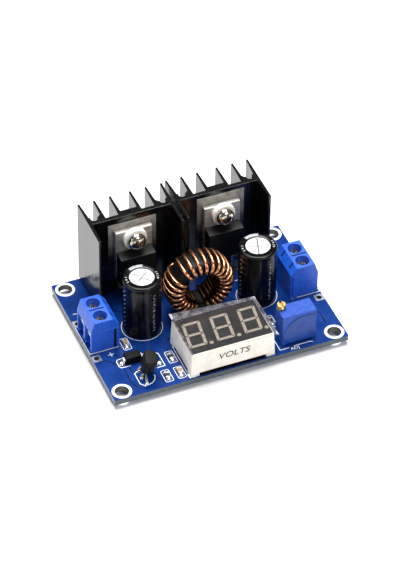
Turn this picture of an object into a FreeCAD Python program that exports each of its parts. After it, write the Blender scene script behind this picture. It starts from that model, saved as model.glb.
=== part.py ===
import FreeCAD, Part
import math
import os
import Sketcher

# Step-down converter module. Millimetres. The origin is the centre of the four
# mounting holes on the board's top face, +X runs along the display edge to the
# right, +Y towards the heatsinks and +Z up.

os.makedirs("parts", exist_ok=True)
doc = FreeCAD.newDocument("converter")
V = FreeCAD.Vector

# Driving sizes

SIZES = {
    # board
    "board_length": 66.0,
    "board_width": 47.0,
    "board_thickness": 1.6,
    "board_corner": 0.3,
    "hole_spacing_x": 60.0,
    "hole_spacing_y": 41.5,
    "hole_diameter": 3.6,
    "lead_end": 1.1,
    "lead_clearance": 0.15,
    "wire_pad_inset": 1.3,
    "wire_pad_y": 7.1,
    "wire_pad_hole": 0.6,
    # heatsinks
    "sink_left_x": -13.05,
    "sink_right_x": 11.85,
    "sink_plate_left_y": 15.05,
    "sink_plate_right_y": 15.45,
    "sink_bottom": 0.6,
    "sink_height": 25.4,
    "sink_half_width": 11.93,
    "sink_wall": 1.0,
    "sink_wing_tip": 0.7,
    "sink_fin_tip": 0.55,
    "sink_wing": 7.15,
    "sink_fin_reach": 8.8,
    "sink_plate": 1.2,
    "sink_boss": 2.4,
    "sink_channel_x": 9.7,
    "sink_channel_half": 1.15,
    "sink_channel_back": 2.75,
    "sink_channel_radius": 0.95,
    "sink_lip": 0.4,
    "sink_fin_two": 7.3,
    "sink_fin_three": 2.8,
    "sink_pin_radius": 0.87,
    "sink_pin_top": 9.0,
    # power packages
    "regulator_x": -13.1,
    "rectifier_x": 12.15,
    "pad_left_x": -13.05,
    "pad_right_x": 12.25,
    "pad_width": 13.5,
    "pad_height": 19.0,
    "pad_thickness": 0.25,
    "pad_left_above_fix": 4.4,
    "pad_right_above_fix": 5.1,
    "tab_width": 10.4,
    "tab_thickness": 1.5,
    "tab_above_fix": 2.5,
    "tab_bottom": 6.6,
    "tab_hole": 3.7,
    "fix_height": 19.6,
    "package_width": 9.9,
    "package_depth": 3.3,
    "package_bottom": 6.3,
    "package_below_fix": 4.0,
    "package_draft": 0.35,
    "lead_depth": 1.3,
    "lead_thickness": 0.5,
    "lead_width": 0.8,
    "lead_drop": 1.6,
    "lead_hole": 0.48,
    "lead_pitch_five": 1.7,
    "lead_pitch_three": 2.54,
    "lead_forward": 3.6,
    "washer_diameter": 6.5,
    "washer_thickness": 1.45,
    "washer_barrel": 3.6,
    "washer_barrel_length": 1.2,
    "washer_bore": 3.06,
    "screw_shank": 2.95,
    "screw_head": 5.0,
    "screw_head_height": 2.1,
    "screw_relief": 0.04,
    "recess_depth": 1.1,
    "recess_half": 1.3,
    "recess_wall": 0.28,
    "screw_length": 8.0,
    # capacitors
    "capacitor_left_share": 0.34,
    "capacitor_right_share": 0.4,
    "capacitor_y": -0.1,
    "capacitor_bottom": 0.4,
    "capacitor_top": 17.8,
    "sleeve_radius": 5.15,
    "sleeve_thickness": 0.15,
    "sleeve_rim": 3.4,
    "sleeve_shoulder": 0.5,
    "can_wall": 0.3,
    "can_shoulder": 0.45,
    "vent_half": 2.8,
    "vent_width": 0.18,
    "vent_depth": 0.12,
    "capacitor_pitch": 5.0,
    "capacitor_lead": 0.3,
    "roll_clearance": 0.3,
    "roll_end_gap": 1.6,
    "seal_thickness": 1.5,
    # inductor
    "core_x": 0.05,
    "core_y": 0.9,
    "core_z": 9.8,
    "wire_radius": 0.47,
    "coil_inner": 4.85,
    "coil_outer": 9.15,
    "coil_half_depth": 4.0,
    "coil_outer_bend": 1.4,
    "coil_inner_bend": 0.9,
    "core_gap": 0.12,
    "core_outer_edge": 1.1,
    "core_inner_edge": 0.8,
    # display
    "display_x": 0.25,
    "display_y": -15.6,
    "display_length": 23.1,
    "display_width": 13.9,
    "display_height": 7.8,
    "display_draft": 0.3,
    "display_wall": 0.8,
    "display_foot": 1.0,
    "display_foot_length": 2.4,
    "face_thickness": 0.2,
    "face_margin": 0.25,
    "window_depth": 1.0,
    "digit_pitch": 7.76,
    "digit_shift": -0.2,
    "digit_height": 9.1,
    "digit_width": 5.0,
    "digit_slant": 0.135,
    "segment_width": 0.8,
    "segment_gap": 0.14,
    "point_radius": 0.55,
    "point_across": 0.5,
    "point_up": 0.2,
    "pin_socket": 1.0,
    "filling_above_foot": 0.4,
    "display_pin_pitch": 2.54,
    "display_row": 10.16,
    "display_pin": 0.5,
    "film_thickness": 0.12,
    # trimmer
    "trimmer_inset": 17.9,
    "trimmer_y": -20.75,
    "trimmer_length": 9.53,
    "trimmer_width": 4.83,
    "trimmer_top": 10.0,
    "trimmer_foot": 0.4,
    "trimmer_post": 1.15,
    "trimmer_screw_inset": 1.05,
    "trimmer_screw_radius": 1.2,
    "trimmer_screw_height": 1.5,
    "trimmer_shaft_radius": 0.6,
    "trimmer_shaft_length": 5.0,
    "trimmer_play": 0.05,
    "trimmer_pitch": 2.54,
    "trimmer_pin": 0.25,
    "trimmer_bevel": 0.25,
    "trimmer_slot": 0.3,
    "trimmer_slot_depth": 0.8,
    "relief_height": 0.12,
    "relief_radius": 3.3,
    "relief_width": 0.3,
    "relief_middle": 4.4,
    # screw terminals
    "terminal_inset": 4.7,
    "terminal_y": 0.5,
    "terminal_pitch": 5.08,
    "terminal_half_width": 3.95,
    "terminal_length": 10.3,
    "terminal_top": 10.1,
    "terminal_entry_top": 7.0,
    "terminal_entry_slope": 1.0,
    "terminal_back_top": 7.9,
    "terminal_back_slope": 1.75,
    "terminal_hole_x": -0.4,
    "terminal_hole_radius": 1.9,
    "terminal_pocket_half": 2.0,
    "terminal_pocket_top": 6.4,
    "terminal_floor": 0.85,
    "terminal_pocket_end": 2.6,
    "terminal_step": 0.15,
    "terminal_rib": 0.4,
    "terminal_rib_inset": 1.85,
    "terminal_rib_width": 1.3,
    "terminal_rib_play": 0.3,
    "terminal_slit": 0.36,
    "terminal_slit_depth": 0.8,
    "terminal_back_slit_low": 8.25,
    "terminal_notch_depth": 0.9,
    "terminal_notch_half": 1.2,
    "cage_half": 1.95,
    "cage_wall": 0.5,
    "cage_tail_hole": 0.68,
    "cage_tail_x": 1.1,
    "cage_tail_half": 0.45,
    "cage_tail_pocket": 0.7,
    "cage_front": -2.6,
    "cage_back": 2.5,
    "nut_bottom": 3.95,
    "nut_top": 4.8,
    "leaf_bottom": 3.5,
    "leaf_thickness": 0.35,
    "leaf_top": 6.2,
    "leaf_front": -3.2,
    "leaf_back": 1.9,
    "leaf_half": 1.35,
    "leaf_lip_half": 1.75,
    "terminal_head_radius": 1.83,
    "terminal_head_bottom": 6.65,
    "terminal_head_height": 1.6,
    "terminal_slot": 0.6,
    "terminal_slot_depth": 0.8,
    "terminal_cross_half": 1.1,
    "terminal_shank_radius": 1.25,
    "terminal_play": 0.06,
    # small parts
    "diode_inset": 9.8,
    "diode_y": -11.05,
    "diode_length": 4.5,
    "diode_width": 2.5,
    "diode_height": 2.2,
    "diode_seat": 0.1,
    "diode_seam": 1.15,
    "diode_draft": 0.2,
    "diode_strip": 0.2,
    "diode_strip_reach": 0.35,
    "diode_strip_width": 1.4,
    "transistor_inset": 11.4,
    "transistor_y": -16.4,
    "transistor_radius": 2.3,
    "transistor_length": 4.8,
    "transistor_flat": 1.3,
    "transistor_lift": 1.8,
    "transistor_pitch": 1.27,
    "transistor_lead": 0.24,
    "transistor_hole": 0.35,
    "chip_length": 2.0,
    "chip_width": 1.25,
    "chip_height": 1.0,
    "resistor_height": 0.55,
    "chip_end": 0.4,
    "chip_seat": 0.05,
    "chip_from_terminal": 1.6,
    "chip_from_display": 1.9,
    "chip_row_from_display": 5.4,
    "chip_right_of_display": 3.9,
    "meter_chip_length": 8.7,
    "meter_chip_width": 3.9,
    "meter_chip_height": 0.9,
    "meter_lead_pitch": 1.27,
    "meter_lead_width": 0.4,
    "meter_lead_reach": 1.05,
    "meter_lead": 0.15,
    "meter_lead_knee": 0.4,
    "meter_chip_stand": 0.1,
    # solder
    "solder_height": 0.9,
    "solder_spread": 0.45,
    "solder_tip": 0.12,
}

sheet = doc.addObject("Spreadsheet::Sheet", "sizes")
for row, (word, value) in enumerate(SIZES.items(), start=1):
    sheet.set("A%d" % row, word)
    sheet.set("B%d" % row, repr(value))
    sheet.setAlias("B%d" % row, word)
doc.recompute()


class Size:
    """A length with its present value and the sheet expression that gives it."""

    def __init__(self, value, text):
        self.value = value
        self.text = text

    def __add__(self, other):
        other = as_size(other)
        return Size(self.value + other.value, "(%s + %s)" % (self.text, other.text))

    def __sub__(self, other):
        other = as_size(other)
        return Size(self.value - other.value, "(%s - %s)" % (self.text, other.text))

    def __mul__(self, other):
        other = as_size(other)
        return Size(self.value * other.value, "(%s * %s)" % (self.text, other.text))

    def __truediv__(self, other):
        other = as_size(other)
        return Size(self.value / other.value, "(%s / %s)" % (self.text, other.text))

    def __neg__(self):
        return Size(-self.value, "(0 - %s)" % self.text)

    def __radd__(self, other):
        return as_size(other) + self

    def __rsub__(self, other):
        return as_size(other) - self

    def __rmul__(self, other):
        return as_size(other) * self


def as_size(number):
    """A plain number as a Size."""
    if isinstance(number, Size):
        return number
    return Size(float(number), "(0 - %.6f)" % -number if number < 0 else "%.6f" % number)


def size(word):
    """The sheet's size of this name."""
    return Size(float(sheet.get(word)), "sizes." + word)


# Building helpers

DONE = []
HELPERS = {"count": 0}


def fresh(word):
    """A new internal name for a helper shape."""
    HELPERS["count"] += 1
    return "%s_%03d" % (word, HELPERS["count"])


def bind(item, **sizes):
    """Bind properties of a document object to sheet expressions."""
    for name, value in sizes.items():
        value = as_size(value)
        setattr(item, name, value.value)
        item.setExpression(name, value.text)


def place(item, x=0, y=0, z=0, turn=None):
    """Put an object at x, y, z by expression, turned by an axis and an angle."""
    x, y, z = as_size(x), as_size(y), as_size(z)
    rotation = FreeCAD.Rotation(V(*turn[0]), turn[1]) if turn else FreeCAD.Rotation()
    item.Placement = FreeCAD.Placement(V(x.value, y.value, z.value), rotation)
    item.setExpression("Placement.Base.x", x.text)
    item.setExpression("Placement.Base.y", y.text)
    item.setExpression("Placement.Base.z", z.text)
    return item


def box(x, y, z):
    """A box between two values on each axis: x, y and z are (low, high) pairs."""
    x, y, z = [(as_size(a), as_size(b)) for a, b in (x, y, z)]
    item = doc.addObject("Part::Box", fresh("box"))
    bind(item, Length=x[1] - x[0], Width=y[1] - y[0], Height=z[1] - z[0])
    return place(item, x[0], y[0], z[0])


TURNS = {"z": None, "y": ((1, 0, 0), -90)}


def bar(sides, at, span, radius, axis="z"):
    """A prism along an axis with this many flat sides, which lie at the radius."""
    low = as_size(span[0])
    item = doc.addObject("Part::Prism", fresh("bar"))
    item.Polygon = sides
    bind(item, Circumradius=reach(sides, radius), Height=as_size(span[1]) - low)
    spot = {"z": (at[0], at[1], low), "y": (at[0], low, at[1])}[axis]
    return place(item, *spot, turn=TURNS[axis])


def reach(sides, radius):
    """How far the corners of such a prism stand from its axis."""
    return as_size(radius) / math.cos(math.pi / sides)


def cut(base, *tools):
    """base without the tools."""
    item = doc.addObject("Part::Cut", fresh("cut"))
    item.Base = base
    item.Tool = tools[0] if len(tools) == 1 else gather(*tools)
    return item


def join(*shapes):
    """One solid from touching or overlapping shapes."""
    item = doc.addObject("Part::MultiFuse", fresh("join"))
    item.Shapes = list(shapes)
    item.Refine = True
    return item


def gather(*shapes):
    """Separate solids kept together."""
    item = doc.addObject("Part::Compound", fresh("group"))
    item.Links = list(shapes)
    return item


def common(one, two):
    """What two shapes share."""
    item = doc.addObject("Part::Common", fresh("common"))
    item.Base = one
    item.Tool = two
    return item


PLANES = {"xy": "XY_Plane", "xz": "XZ_Plane", "yz": "YZ_Plane"}


def new_body(plane):
    """A body with an empty sketch on one of its origin planes."""
    body = doc.addObject("PartDesign::Body", fresh("body"))
    return body, new_sketch(body, plane)


def new_sketch(body, plane):
    """A sketch on one of the body's own origin planes."""
    sketch = body.newObject("Sketcher::SketchObject", fresh("sketch"))
    face = [f for f in body.Origin.OriginFeatures if f.Role == PLANES[plane]][0]
    sketch.AttachmentSupport = [(face, "")]
    sketch.MapMode = "FlatFace"
    return sketch


def outline(sketch, points):
    """A closed polygon whose corners are bound to sizes."""
    first = sketch.GeometryCount
    corners = [(as_size(x), as_size(y)) for x, y in points]
    count = len(corners)
    lines = []
    for i in range(count):
        a, b = corners[i], corners[(i + 1) % count]
        lines.append(Part.LineSegment(V(a[0].value, a[1].value, 0), V(b[0].value, b[1].value, 0)))
    sketch.addGeometry(lines, False)
    ties = [
        Sketcher.Constraint("Coincident", first + i, 2, first + (i + 1) % count, 1)
        for i in range(count)
    ]
    sketch.addConstraint(ties)
    for i, corner in enumerate(corners):
        for kind, value in zip(("DistanceX", "DistanceY"), corner):
            index = sketch.addConstraint(
                Sketcher.Constraint(kind, -1, 1, first + i, 1, value.value)
            )
            sketch.setExpression("Constraints[%d]" % index, value.text)


def circles(sketch, centres, radius):
    """Circles bound to sizes."""
    radius = as_size(radius)
    for x, y in centres:
        x, y = as_size(x), as_size(y)
        index = sketch.addGeometry(Part.Circle(V(x.value, y.value, 0), V(0, 0, 1), radius.value), False)
        for kind, value in (("DistanceX", x), ("DistanceY", y)):
            tie = sketch.addConstraint(Sketcher.Constraint(kind, -1, 1, index, 3, value.value))
            sketch.setExpression("Constraints[%d]" % tie, value.text)
        tie = sketch.addConstraint(Sketcher.Constraint("Radius", index, radius.value))
        sketch.setExpression("Constraints[%d]" % tie, radius.text)


def prism(plane, points, length):
    """A polygon padded by length along its plane's normal, as a body."""
    body, sketch = new_body(plane)
    outline(sketch, points)
    pad = body.newObject("PartDesign::Pad", fresh("pad"))
    pad.Profile = sketch
    bind(pad, Length=length)
    return body


def plain(shape, word):
    """A shape made by functions where no sketch or primitive fits."""
    item = doc.addObject("Part::Feature", fresh(word))
    item.Shape = shape
    return item


def closed_solid(corner_lists):
    """A solid from flat faces given by their corners, facing outward."""
    faces = [Part.Face(Part.makePolygon(list(corners) + [corners[0]])) for corners in corner_lists]
    shell = Part.makeShell(faces)
    shell.sewShape()
    solid = Part.makeSolid(shell)
    if solid.Volume < 0:
        solid.reverse()
    return solid


def lathe(points, sides):
    """A closed profile of (radius, height) corners turned about Z in flat sides, corners at the radius."""
    turns = [2 * math.pi * k / sides for k in range(sides)]
    rings = []
    for radius, height in points:
        radius, height = as_size(radius).value, as_size(height).value
        if radius < 1e-9:
            rings.append([V(0, 0, height)])
        else:
            rings.append([V(radius * math.cos(t), radius * math.sin(t), height) for t in turns])
    faces = []
    for low, high in zip(rings, rings[1:] + rings[:1]):
        for k in range(sides):
            n = (k + 1) % sides
            corners = [low[k % len(low)], low[n % len(low)], high[n % len(high)], high[k % len(high)]]
            kept = [c for i, c in enumerate(corners) if not c.isEqual(corners[i - 1], 1e-9)]
            if len(kept) > 2:
                faces.append(kept)
    return plain(closed_solid(faces).removeSplitter(), "turned")


def finish(item, label):
    """Name a finished sub-part and put it on the list to be written."""
    item.Label = label
    DONE.append(item)
    return item


# Where leads pass through the board: x, y and the lead's radius

LEADS = []


def through(x, y, radius):
    """Note a lead that goes through the board and return its place."""
    LEADS.append((as_size(x), as_size(y), as_size(radius)))
    return x, y


bottom = -size("board_thickness")
lead_end = bottom - size("lead_end")
left_edge = -size("board_length") / 2
right_edge = size("board_length") / 2
cap_y = size("capacitor_y")


# Flat sides that stand in for round ones on small screws and on the capacitors

PIN_SIDES = 12
SCREW_SIDES = 16
CAN_SIDES = 24


# Heatsinks: extruded profile with fins behind, wings in front and two pin channels

def heatsink(name, x, plate_y, screw_x):
    h, t = size("sink_half_width"), size("sink_wall")
    wing, fin = size("sink_wing"), size("sink_fin_reach")
    wing_tip, tip, lip = size("sink_wing_tip"), size("sink_fin_tip"), size("sink_lip")
    plate, boss = size("sink_plate"), size("sink_boss")
    mid, half, back = size("sink_channel_x"), size("sink_channel_half"), size("sink_channel_back")
    two, three = size("sink_fin_two"), size("sink_fin_three")
    right = [
        (h - t, 0), (h - wing_tip, -wing), (h, -wing), (h, fin), (h - tip, fin), (h - t, back),
        (mid, back), (mid - half, back - lip), (two + t / 2, back + lip),
        (two + tip / 2, fin), (two - tip / 2, fin), (two - t / 2, plate),
        (three + t / 2, plate), (three + tip / 2, fin), (three - tip / 2, fin), (three - t / 2, boss),
    ]
    left = [(-as_size(a), b) for a, b in reversed(right)]
    body = prism("xy", right + left, size("sink_height"))
    low, high = size("sink_bottom"), size("sink_bottom") + size("sink_height")
    place(body, x, plate_y, low)
    groove_y = plate_y + plate + size("sink_channel_radius")
    tools = [
        bar(8, (x + mid * side, groove_y), (low - 1, high + 1), size("sink_channel_radius")) for side in (-1, 1)
    ]
    tools.append(bar(
        SCREW_SIDES, (screw_x, size("fix_height")), (plate_y - 1, plate_y + boss + 1), size("screw_shank") / 2, "y"
    ))
    finish(cut(body, *tools), name)
    made = []
    for side in (-1, 1):
        pin = size("sink_pin_radius")
        spot = through(x + mid * side, groove_y, reach(8, pin))
        made.append(bar(8, spot, (lead_end, size("sink_pin_top")), pin))
    return made


sinks = [
    ("left", size("sink_left_x"), size("sink_plate_left_y"), size("regulator_x")),
    ("right", size("sink_right_x"), size("sink_plate_right_y"), size("rectifier_x")),
]
sink_pins = []
for side, x, plate_y, screw_x in sinks:
    sink_pins += heatsink("heatsink_" + side, x, plate_y, screw_x)
finish(gather(*sink_pins), "heatsink_pins")


# Power packages clamped to the heatsinks

def power_package(name, side, x, plate_y, lead_places):
    """Pad, tab, body, leads, shoulder washer and screw of one package."""
    fix = size("fix_height")
    pad_front = plate_y - size("pad_thickness")
    tab_front = pad_front - size("tab_thickness")
    pad_x, half_pad = size("pad_%s_x" % side), size("pad_width") / 2
    pad_top = fix + size("pad_%s_above_fix" % side)
    pad = cut(
        box((pad_x - half_pad, pad_x + half_pad), (pad_front, plate_y), (pad_top - size("pad_height"), pad_top)),
        bar(SCREW_SIDES, (x, fix), (pad_front - 1, plate_y + 1), size("tab_hole") / 2, "y"),
    )
    finish(pad, "insulating_pad_" + side)
    half_tab = size("tab_width") / 2
    tab = cut(
        box((x - half_tab, x + half_tab), (tab_front, pad_front), (size("tab_bottom"), fix + size("tab_above_fix"))),
        bar(SCREW_SIDES, (x, fix), (tab_front - 1, pad_front + 1), size("tab_hole") / 2, "y"),
    )
    finish(tab, name + "_tab")
    depth, draft = size("package_depth"), size("package_draft")
    low, high = size("package_bottom"), fix - size("package_below_fix")
    body = prism(
        "yz",
        [(0, low), (0, high), (-depth, high - draft), (-depth, low)],
        size("package_width"),
    )
    place(body, x - size("package_width") / 2, tab_front, 0)
    finish(body, name + "_body")
    lead_y = tab_front - size("lead_depth")
    thick, half = size("lead_thickness") / 2, size("lead_width") / 2
    bend = low - size("lead_drop")
    under = bend - size("lead_thickness")
    leads = []
    for offset, forward in lead_places:
        across = (x + offset - half, x + offset + half)
        if forward:
            kick = lead_y - forward
            leads.append(join(
                box(across, (lead_y - thick, lead_y + thick), (bend, low)),
                box(across, (kick - thick, lead_y + thick), (under, bend)),
                box(across, (kick - thick, kick + thick), (lead_end, under)),
            ))
            through(x + offset, kick, size("lead_hole"))
        else:
            leads.append(box(across, (lead_y - thick, lead_y + thick), (lead_end, low)))
            through(x + offset, lead_y, size("lead_hole"))
    finish(gather(*leads), name + "_leads")
    flange = tab_front - size("washer_thickness")
    bore, barrel = size("washer_bore") / 2, size("washer_barrel") / 2
    wide, inward = size("washer_diameter") / 2, -size("washer_barrel_length")
    washer = lathe([
        (bore, inward), (barrel, inward), (barrel, 0), (wide, 0), (wide, size("washer_thickness")),
        (bore, size("washer_thickness")),
    ], SCREW_SIDES)
    finish(place(washer, x, tab_front, fix, turn=((1, 0, 0), 90)), "shoulder_washer_" + side)
    head, tall = size("screw_head") / 2, size("screw_head_height")
    shank = size("screw_shank") / 2 - size("screw_relief")
    screw = lathe([
        (0, -size("screw_length")), (shank, -size("screw_length")), (shank, 0), (head, 0), (head, tall * 0.5),
        (head * 0.65, tall), (0, tall),
    ], SCREW_SIDES)
    place(screw, x, flange, fix, turn=((1, 0, 0), 90))
    deep = flange - tall + size("recess_depth")
    arm, thin = size("recess_half"), size("recess_wall")
    cross = [
        box((x - a, x + a), (flange - tall - 1, deep), (fix - b, fix + b)) for a, b in ((arm, thin), (thin, arm))
    ]
    finish(cut(screw, join(*cross)), "clamp_screw_" + side)


near, far, step = size("lead_pitch_five"), size("lead_forward"), size("lead_pitch_three")
five = [(-near * 2, 0), (-near, far), (0, 0), (near, far), (near * 2, 0)]
three = [(-step, 0), (0, 0), (step, 0)]
power_package("regulator", "left", size("regulator_x"), sinks[0][2], five)
power_package("rectifier", "right", size("rectifier_x"), sinks[1][2], three)


# Electrolytic capacitors: sleeve over a can, a wound roll and a rubber seal inside

def capacitor(name, x):
    low, high = size("capacitor_bottom"), size("capacitor_top")
    outer, skin, rim = size("sleeve_radius"), size("sleeve_thickness"), size("sleeve_rim")
    round_off, shoulder = size("sleeve_shoulder"), size("can_shoulder")
    can_r, wall = outer - skin, size("can_wall")
    base, top = low + skin, high - skin
    sleeve = lathe([
        (can_r, low), (outer, low), (outer, high - round_off), (outer - round_off, high), (rim, high),
        (rim, top), (can_r - shoulder, top), (can_r, top - shoulder),
    ], CAN_SIDES)
    finish(place(sleeve, x, cap_y, 0), name + "_sleeve")
    can = lathe([
        (0, top), (can_r - shoulder, top), (can_r, top - shoulder), (can_r, base), (can_r - wall, base),
        (can_r - wall, top - shoulder - wall), (0, top - shoulder - wall),
    ], CAN_SIDES)
    place(can, x, cap_y, 0)
    arm, thin, deep = size("vent_half"), size("vent_width") / 2, size("vent_depth")
    vents = [
        box((x - a, x + a), (cap_y - b, cap_y + b), (top - deep, top + 1)) for a, b in ((arm, thin), (thin, arm))
    ]
    finish(cut(can, join(*vents)), name + "_can")
    seal_top = base + size("seal_thickness")
    half_pitch, lead = size("capacitor_pitch") / 2, size("capacitor_lead")
    spots = [(x - half_pitch, cap_y), (x + half_pitch, cap_y)]
    disc = lathe([(0, base), (can_r - wall, base), (can_r - wall, seal_top), (0, seal_top)], CAN_SIDES)
    holes = [bar(6, spot, (base - 1, seal_top + 1), lead) for spot in spots]
    finish(cut(place(disc, x, cap_y, 0), gather(*holes)), name + "_seal")
    roll_low = seal_top + size("roll_end_gap")
    leads = [bar(6, through(*spot, reach(6, lead)), (lead_end, roll_low), lead) for spot in spots]
    finish(gather(*leads), name + "_leads")
    roll_r, roll_high = can_r - wall - size("roll_clearance"), top - shoulder - wall - size("roll_clearance")
    roll = lathe([(0, roll_low), (roll_r, roll_low), (roll_r, roll_high), (0, roll_high)], CAN_SIDES)
    finish(place(roll, x, cap_y, 0), name + "_roll")


# Each stands between the winding and its terminal, at its share of the free space

coil_reach = size("coil_outer") + size("wire_radius")
terminal_inner = right_edge - size("terminal_inset") - size("terminal_half_width")
can_across = size("sleeve_radius") * 2
free_left = terminal_inner + size("core_x") - coil_reach - can_across
free_right = terminal_inner - size("core_x") - coil_reach - can_across
beside_coil = coil_reach + size("sleeve_radius")
capacitor("capacitor_left", size("core_x") - beside_coil - free_left * size("capacitor_left_share"))
capacitor("capacitor_right", size("core_x") + beside_coil + free_right * size("capacitor_right_share"))


# Inductor: a coated ring core on edge, and one wire wound round it in 25 turns

TURN_ANGLES = [
    -111, -123.5, -136, -148.5, -161, -173.5, -186, -198.5, -211.5, -236, -249.5, -263, -276.5,
    -290, -303, -316, -329.5, -343, -356, -369, -381.5, -394.5, -407, -420, -436,
]
CORE_SIDES = 30


def coil_path(cx, cy, cz, inner, outer, depth, inner_bend, outer_bend):
    """Corner points of the wire: back run in, inside run, front run out and outside run, turn by turn."""
    points = []

    def spot(radius, angle, y):
        turn = math.radians(angle)
        return V(cx + radius * math.cos(turn), cy + y, cz + radius * math.sin(turn))

    before = TURN_ANGLES[0] + 9.0
    start = spot(outer, before, depth)
    points.append(V(start.x, start.y, lead_end.value))
    points.append(start)
    for i, angle in enumerate(TURN_ANGLES):
        if i:
            before = TURN_ANGLES[i - 1]
            points.append(spot(outer, before, depth - outer_bend))
            points.append(spot(outer - outer_bend, before + (angle - before) * 0.1, depth))
        else:
            points.append(spot(outer - outer_bend, before, depth))
        points.append(spot(inner + inner_bend, before + (angle - before) * 0.85, depth))
        points.append(spot(inner, angle, depth - inner_bend))
        points.append(spot(inner, angle, inner_bend - depth))
        points.append(spot(inner + inner_bend, angle, -depth))
        if i + 1 < len(TURN_ANGLES):
            points.append(spot(outer - outer_bend, angle, -depth))
            points.append(spot(outer, angle, outer_bend - depth))
    end = spot(outer - 0.3, TURN_ANGLES[-1], -depth)
    points.append(end)
    points.append(V(end.x, end.y, lead_end.value))
    return points


def flat_sided_wire(points, radius, sides):
    """A closed solid of flat sides along a path, mitred at each corner, its edges at the radius."""
    first = (points[1] - points[0]).normalize()
    side = first.cross(V(0, 1, 0)).normalize()
    other = first.cross(side)
    ring = []
    for k in range(sides):
        turn = 2 * math.pi * (k + 0.5) / sides
        ring.append(points[0] + side * (radius * math.cos(turn)) + other * (radius * math.sin(turn)))
    rings = [ring]
    for i in range(1, len(points)):
        along = (points[i] - points[i - 1]).normalize()
        if i + 1 < len(points):
            normal = (along + (points[i + 1] - points[i]).normalize()).normalize()
        else:
            normal = along
        moved = []
        for corner in rings[-1]:
            reach = (points[i] - corner).dot(normal) / along.dot(normal)
            moved.append(corner + along * reach)
        rings.append(moved)
    faces = [rings[0], rings[-1]]
    for low, high in zip(rings, rings[1:]):
        for k in range(sides):
            n = (k + 1) % sides
            faces.append([low[k], low[n], high[n], high[k]])
    return closed_solid(faces)


def inductor():
    x, y, z = size("core_x"), size("core_y"), size("core_z")
    wire, gap = size("wire_radius"), size("core_gap")
    inner = size("coil_inner") + wire + gap
    outer = size("coil_outer") - wire - gap
    deep = size("coil_half_depth") - wire - gap
    near, far = size("core_inner_edge"), size("core_outer_edge")
    core = lathe([
        (inner, near - deep), (inner + near, -deep), (outer - far, -deep), (outer, far - deep),
        (outer, deep - far), (outer - far, deep), (inner + near, deep), (inner, deep - near),
    ], CORE_SIDES)
    finish(place(core, x, y, z, turn=((1, 0, 0), 90)), "inductor_core")
    path = coil_path(
        x.value, y.value, z.value, size("coil_inner").value, size("coil_outer").value,
        size("coil_half_depth").value, size("coil_inner_bend").value, size("coil_outer_bend").value,
    )
    winding = plain(flat_sided_wire(path, wire.value, 6), "winding")
    finish(winding, "inductor_winding")
    for end in (path[0], path[-1]):
        through(end.x, end.y, wire)


inductor()


# Display: case on four feet, dark face, slanted segment bars, filling, pins and film

def digit_bars(width, height, bar, gap, slant):
    """Corner lists of the seven mitred bars of one digit about its own centre."""
    w, h, b, g = width / 2, height / 2, bar, gap
    level = [(g - w, h), (w - g, h), (w - b - g, h - b), (b + g - w, h - b)]
    middle = [
        (b / 2 + g - w, 0), (b + g - w, b / 2), (w - b - g, b / 2), (w - b / 2 - g, 0), (w - b - g, -b / 2),
        (b + g - w, -b / 2),
    ]
    upright = [(w, h - g), (w - b, h - b - g), (w - b, b / 2 + g), (w - b / 2, g), (w, g)]
    bars = [middle]
    bars += [[(px, py * up) for px, py in level] for up in (-1, 1)]
    bars += [[(px * side, py * up) for px, py in upright] for side in (-1, 1) for up in (-1, 1)]
    return [[(px + py * slant, py) for px, py in corners] for corners in bars]


def octagon(x, y, radius):
    """Corners of an octagon whose flat sides lie at the radius."""
    across = radius / math.cos(math.pi / 8)
    turns = [math.pi / 8 + k * math.pi / 4 for k in range(8)]
    return [(x + across * math.cos(t), y + across * math.sin(t)) for t in turns]


def upright_prism(corners, z_low, z_high):
    """A solid with this outline between two heights."""
    low = [V(x, y, z_low) for x, y in corners]
    high = [V(x, y, z_high) for x, y in corners]
    sides = [[low[k - 1], low[k], high[k], high[k - 1]] for k in range(len(corners))]
    return closed_solid([low, high] + sides)


def segment_shape(z_low, z_high):
    """All segment bars and points of the display as prisms."""
    pieces = []
    x0, y0 = size("display_x").value, size("display_y").value
    for n in (-1, 0, 1):
        cx = x0 + n * size("digit_pitch").value + size("digit_shift").value
        for bar in digit_bars(
            size("digit_width").value, size("digit_height").value, size("segment_width").value,
            size("segment_gap").value, size("digit_slant").value,
        ):
            pieces.append(upright_prism([(cx + px, y0 + py) for px, py in bar], z_low, z_high))
        dot_x = cx + size("digit_width").value / 2 + size("point_across").value
        dot_y = y0 - size("digit_height").value / 2 + size("point_up").value
        pieces.append(upright_prism(octagon(dot_x, dot_y, size("point_radius").value), z_low, z_high))
    return Part.makeCompound(pieces)


# Corners of the loosely laid film, from the display's centre
FILM_CORNERS = [(-11.45, 9.4), (12.15, 7.5), (12.45, -8.4), (-11.55, -6.9)]


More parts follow.
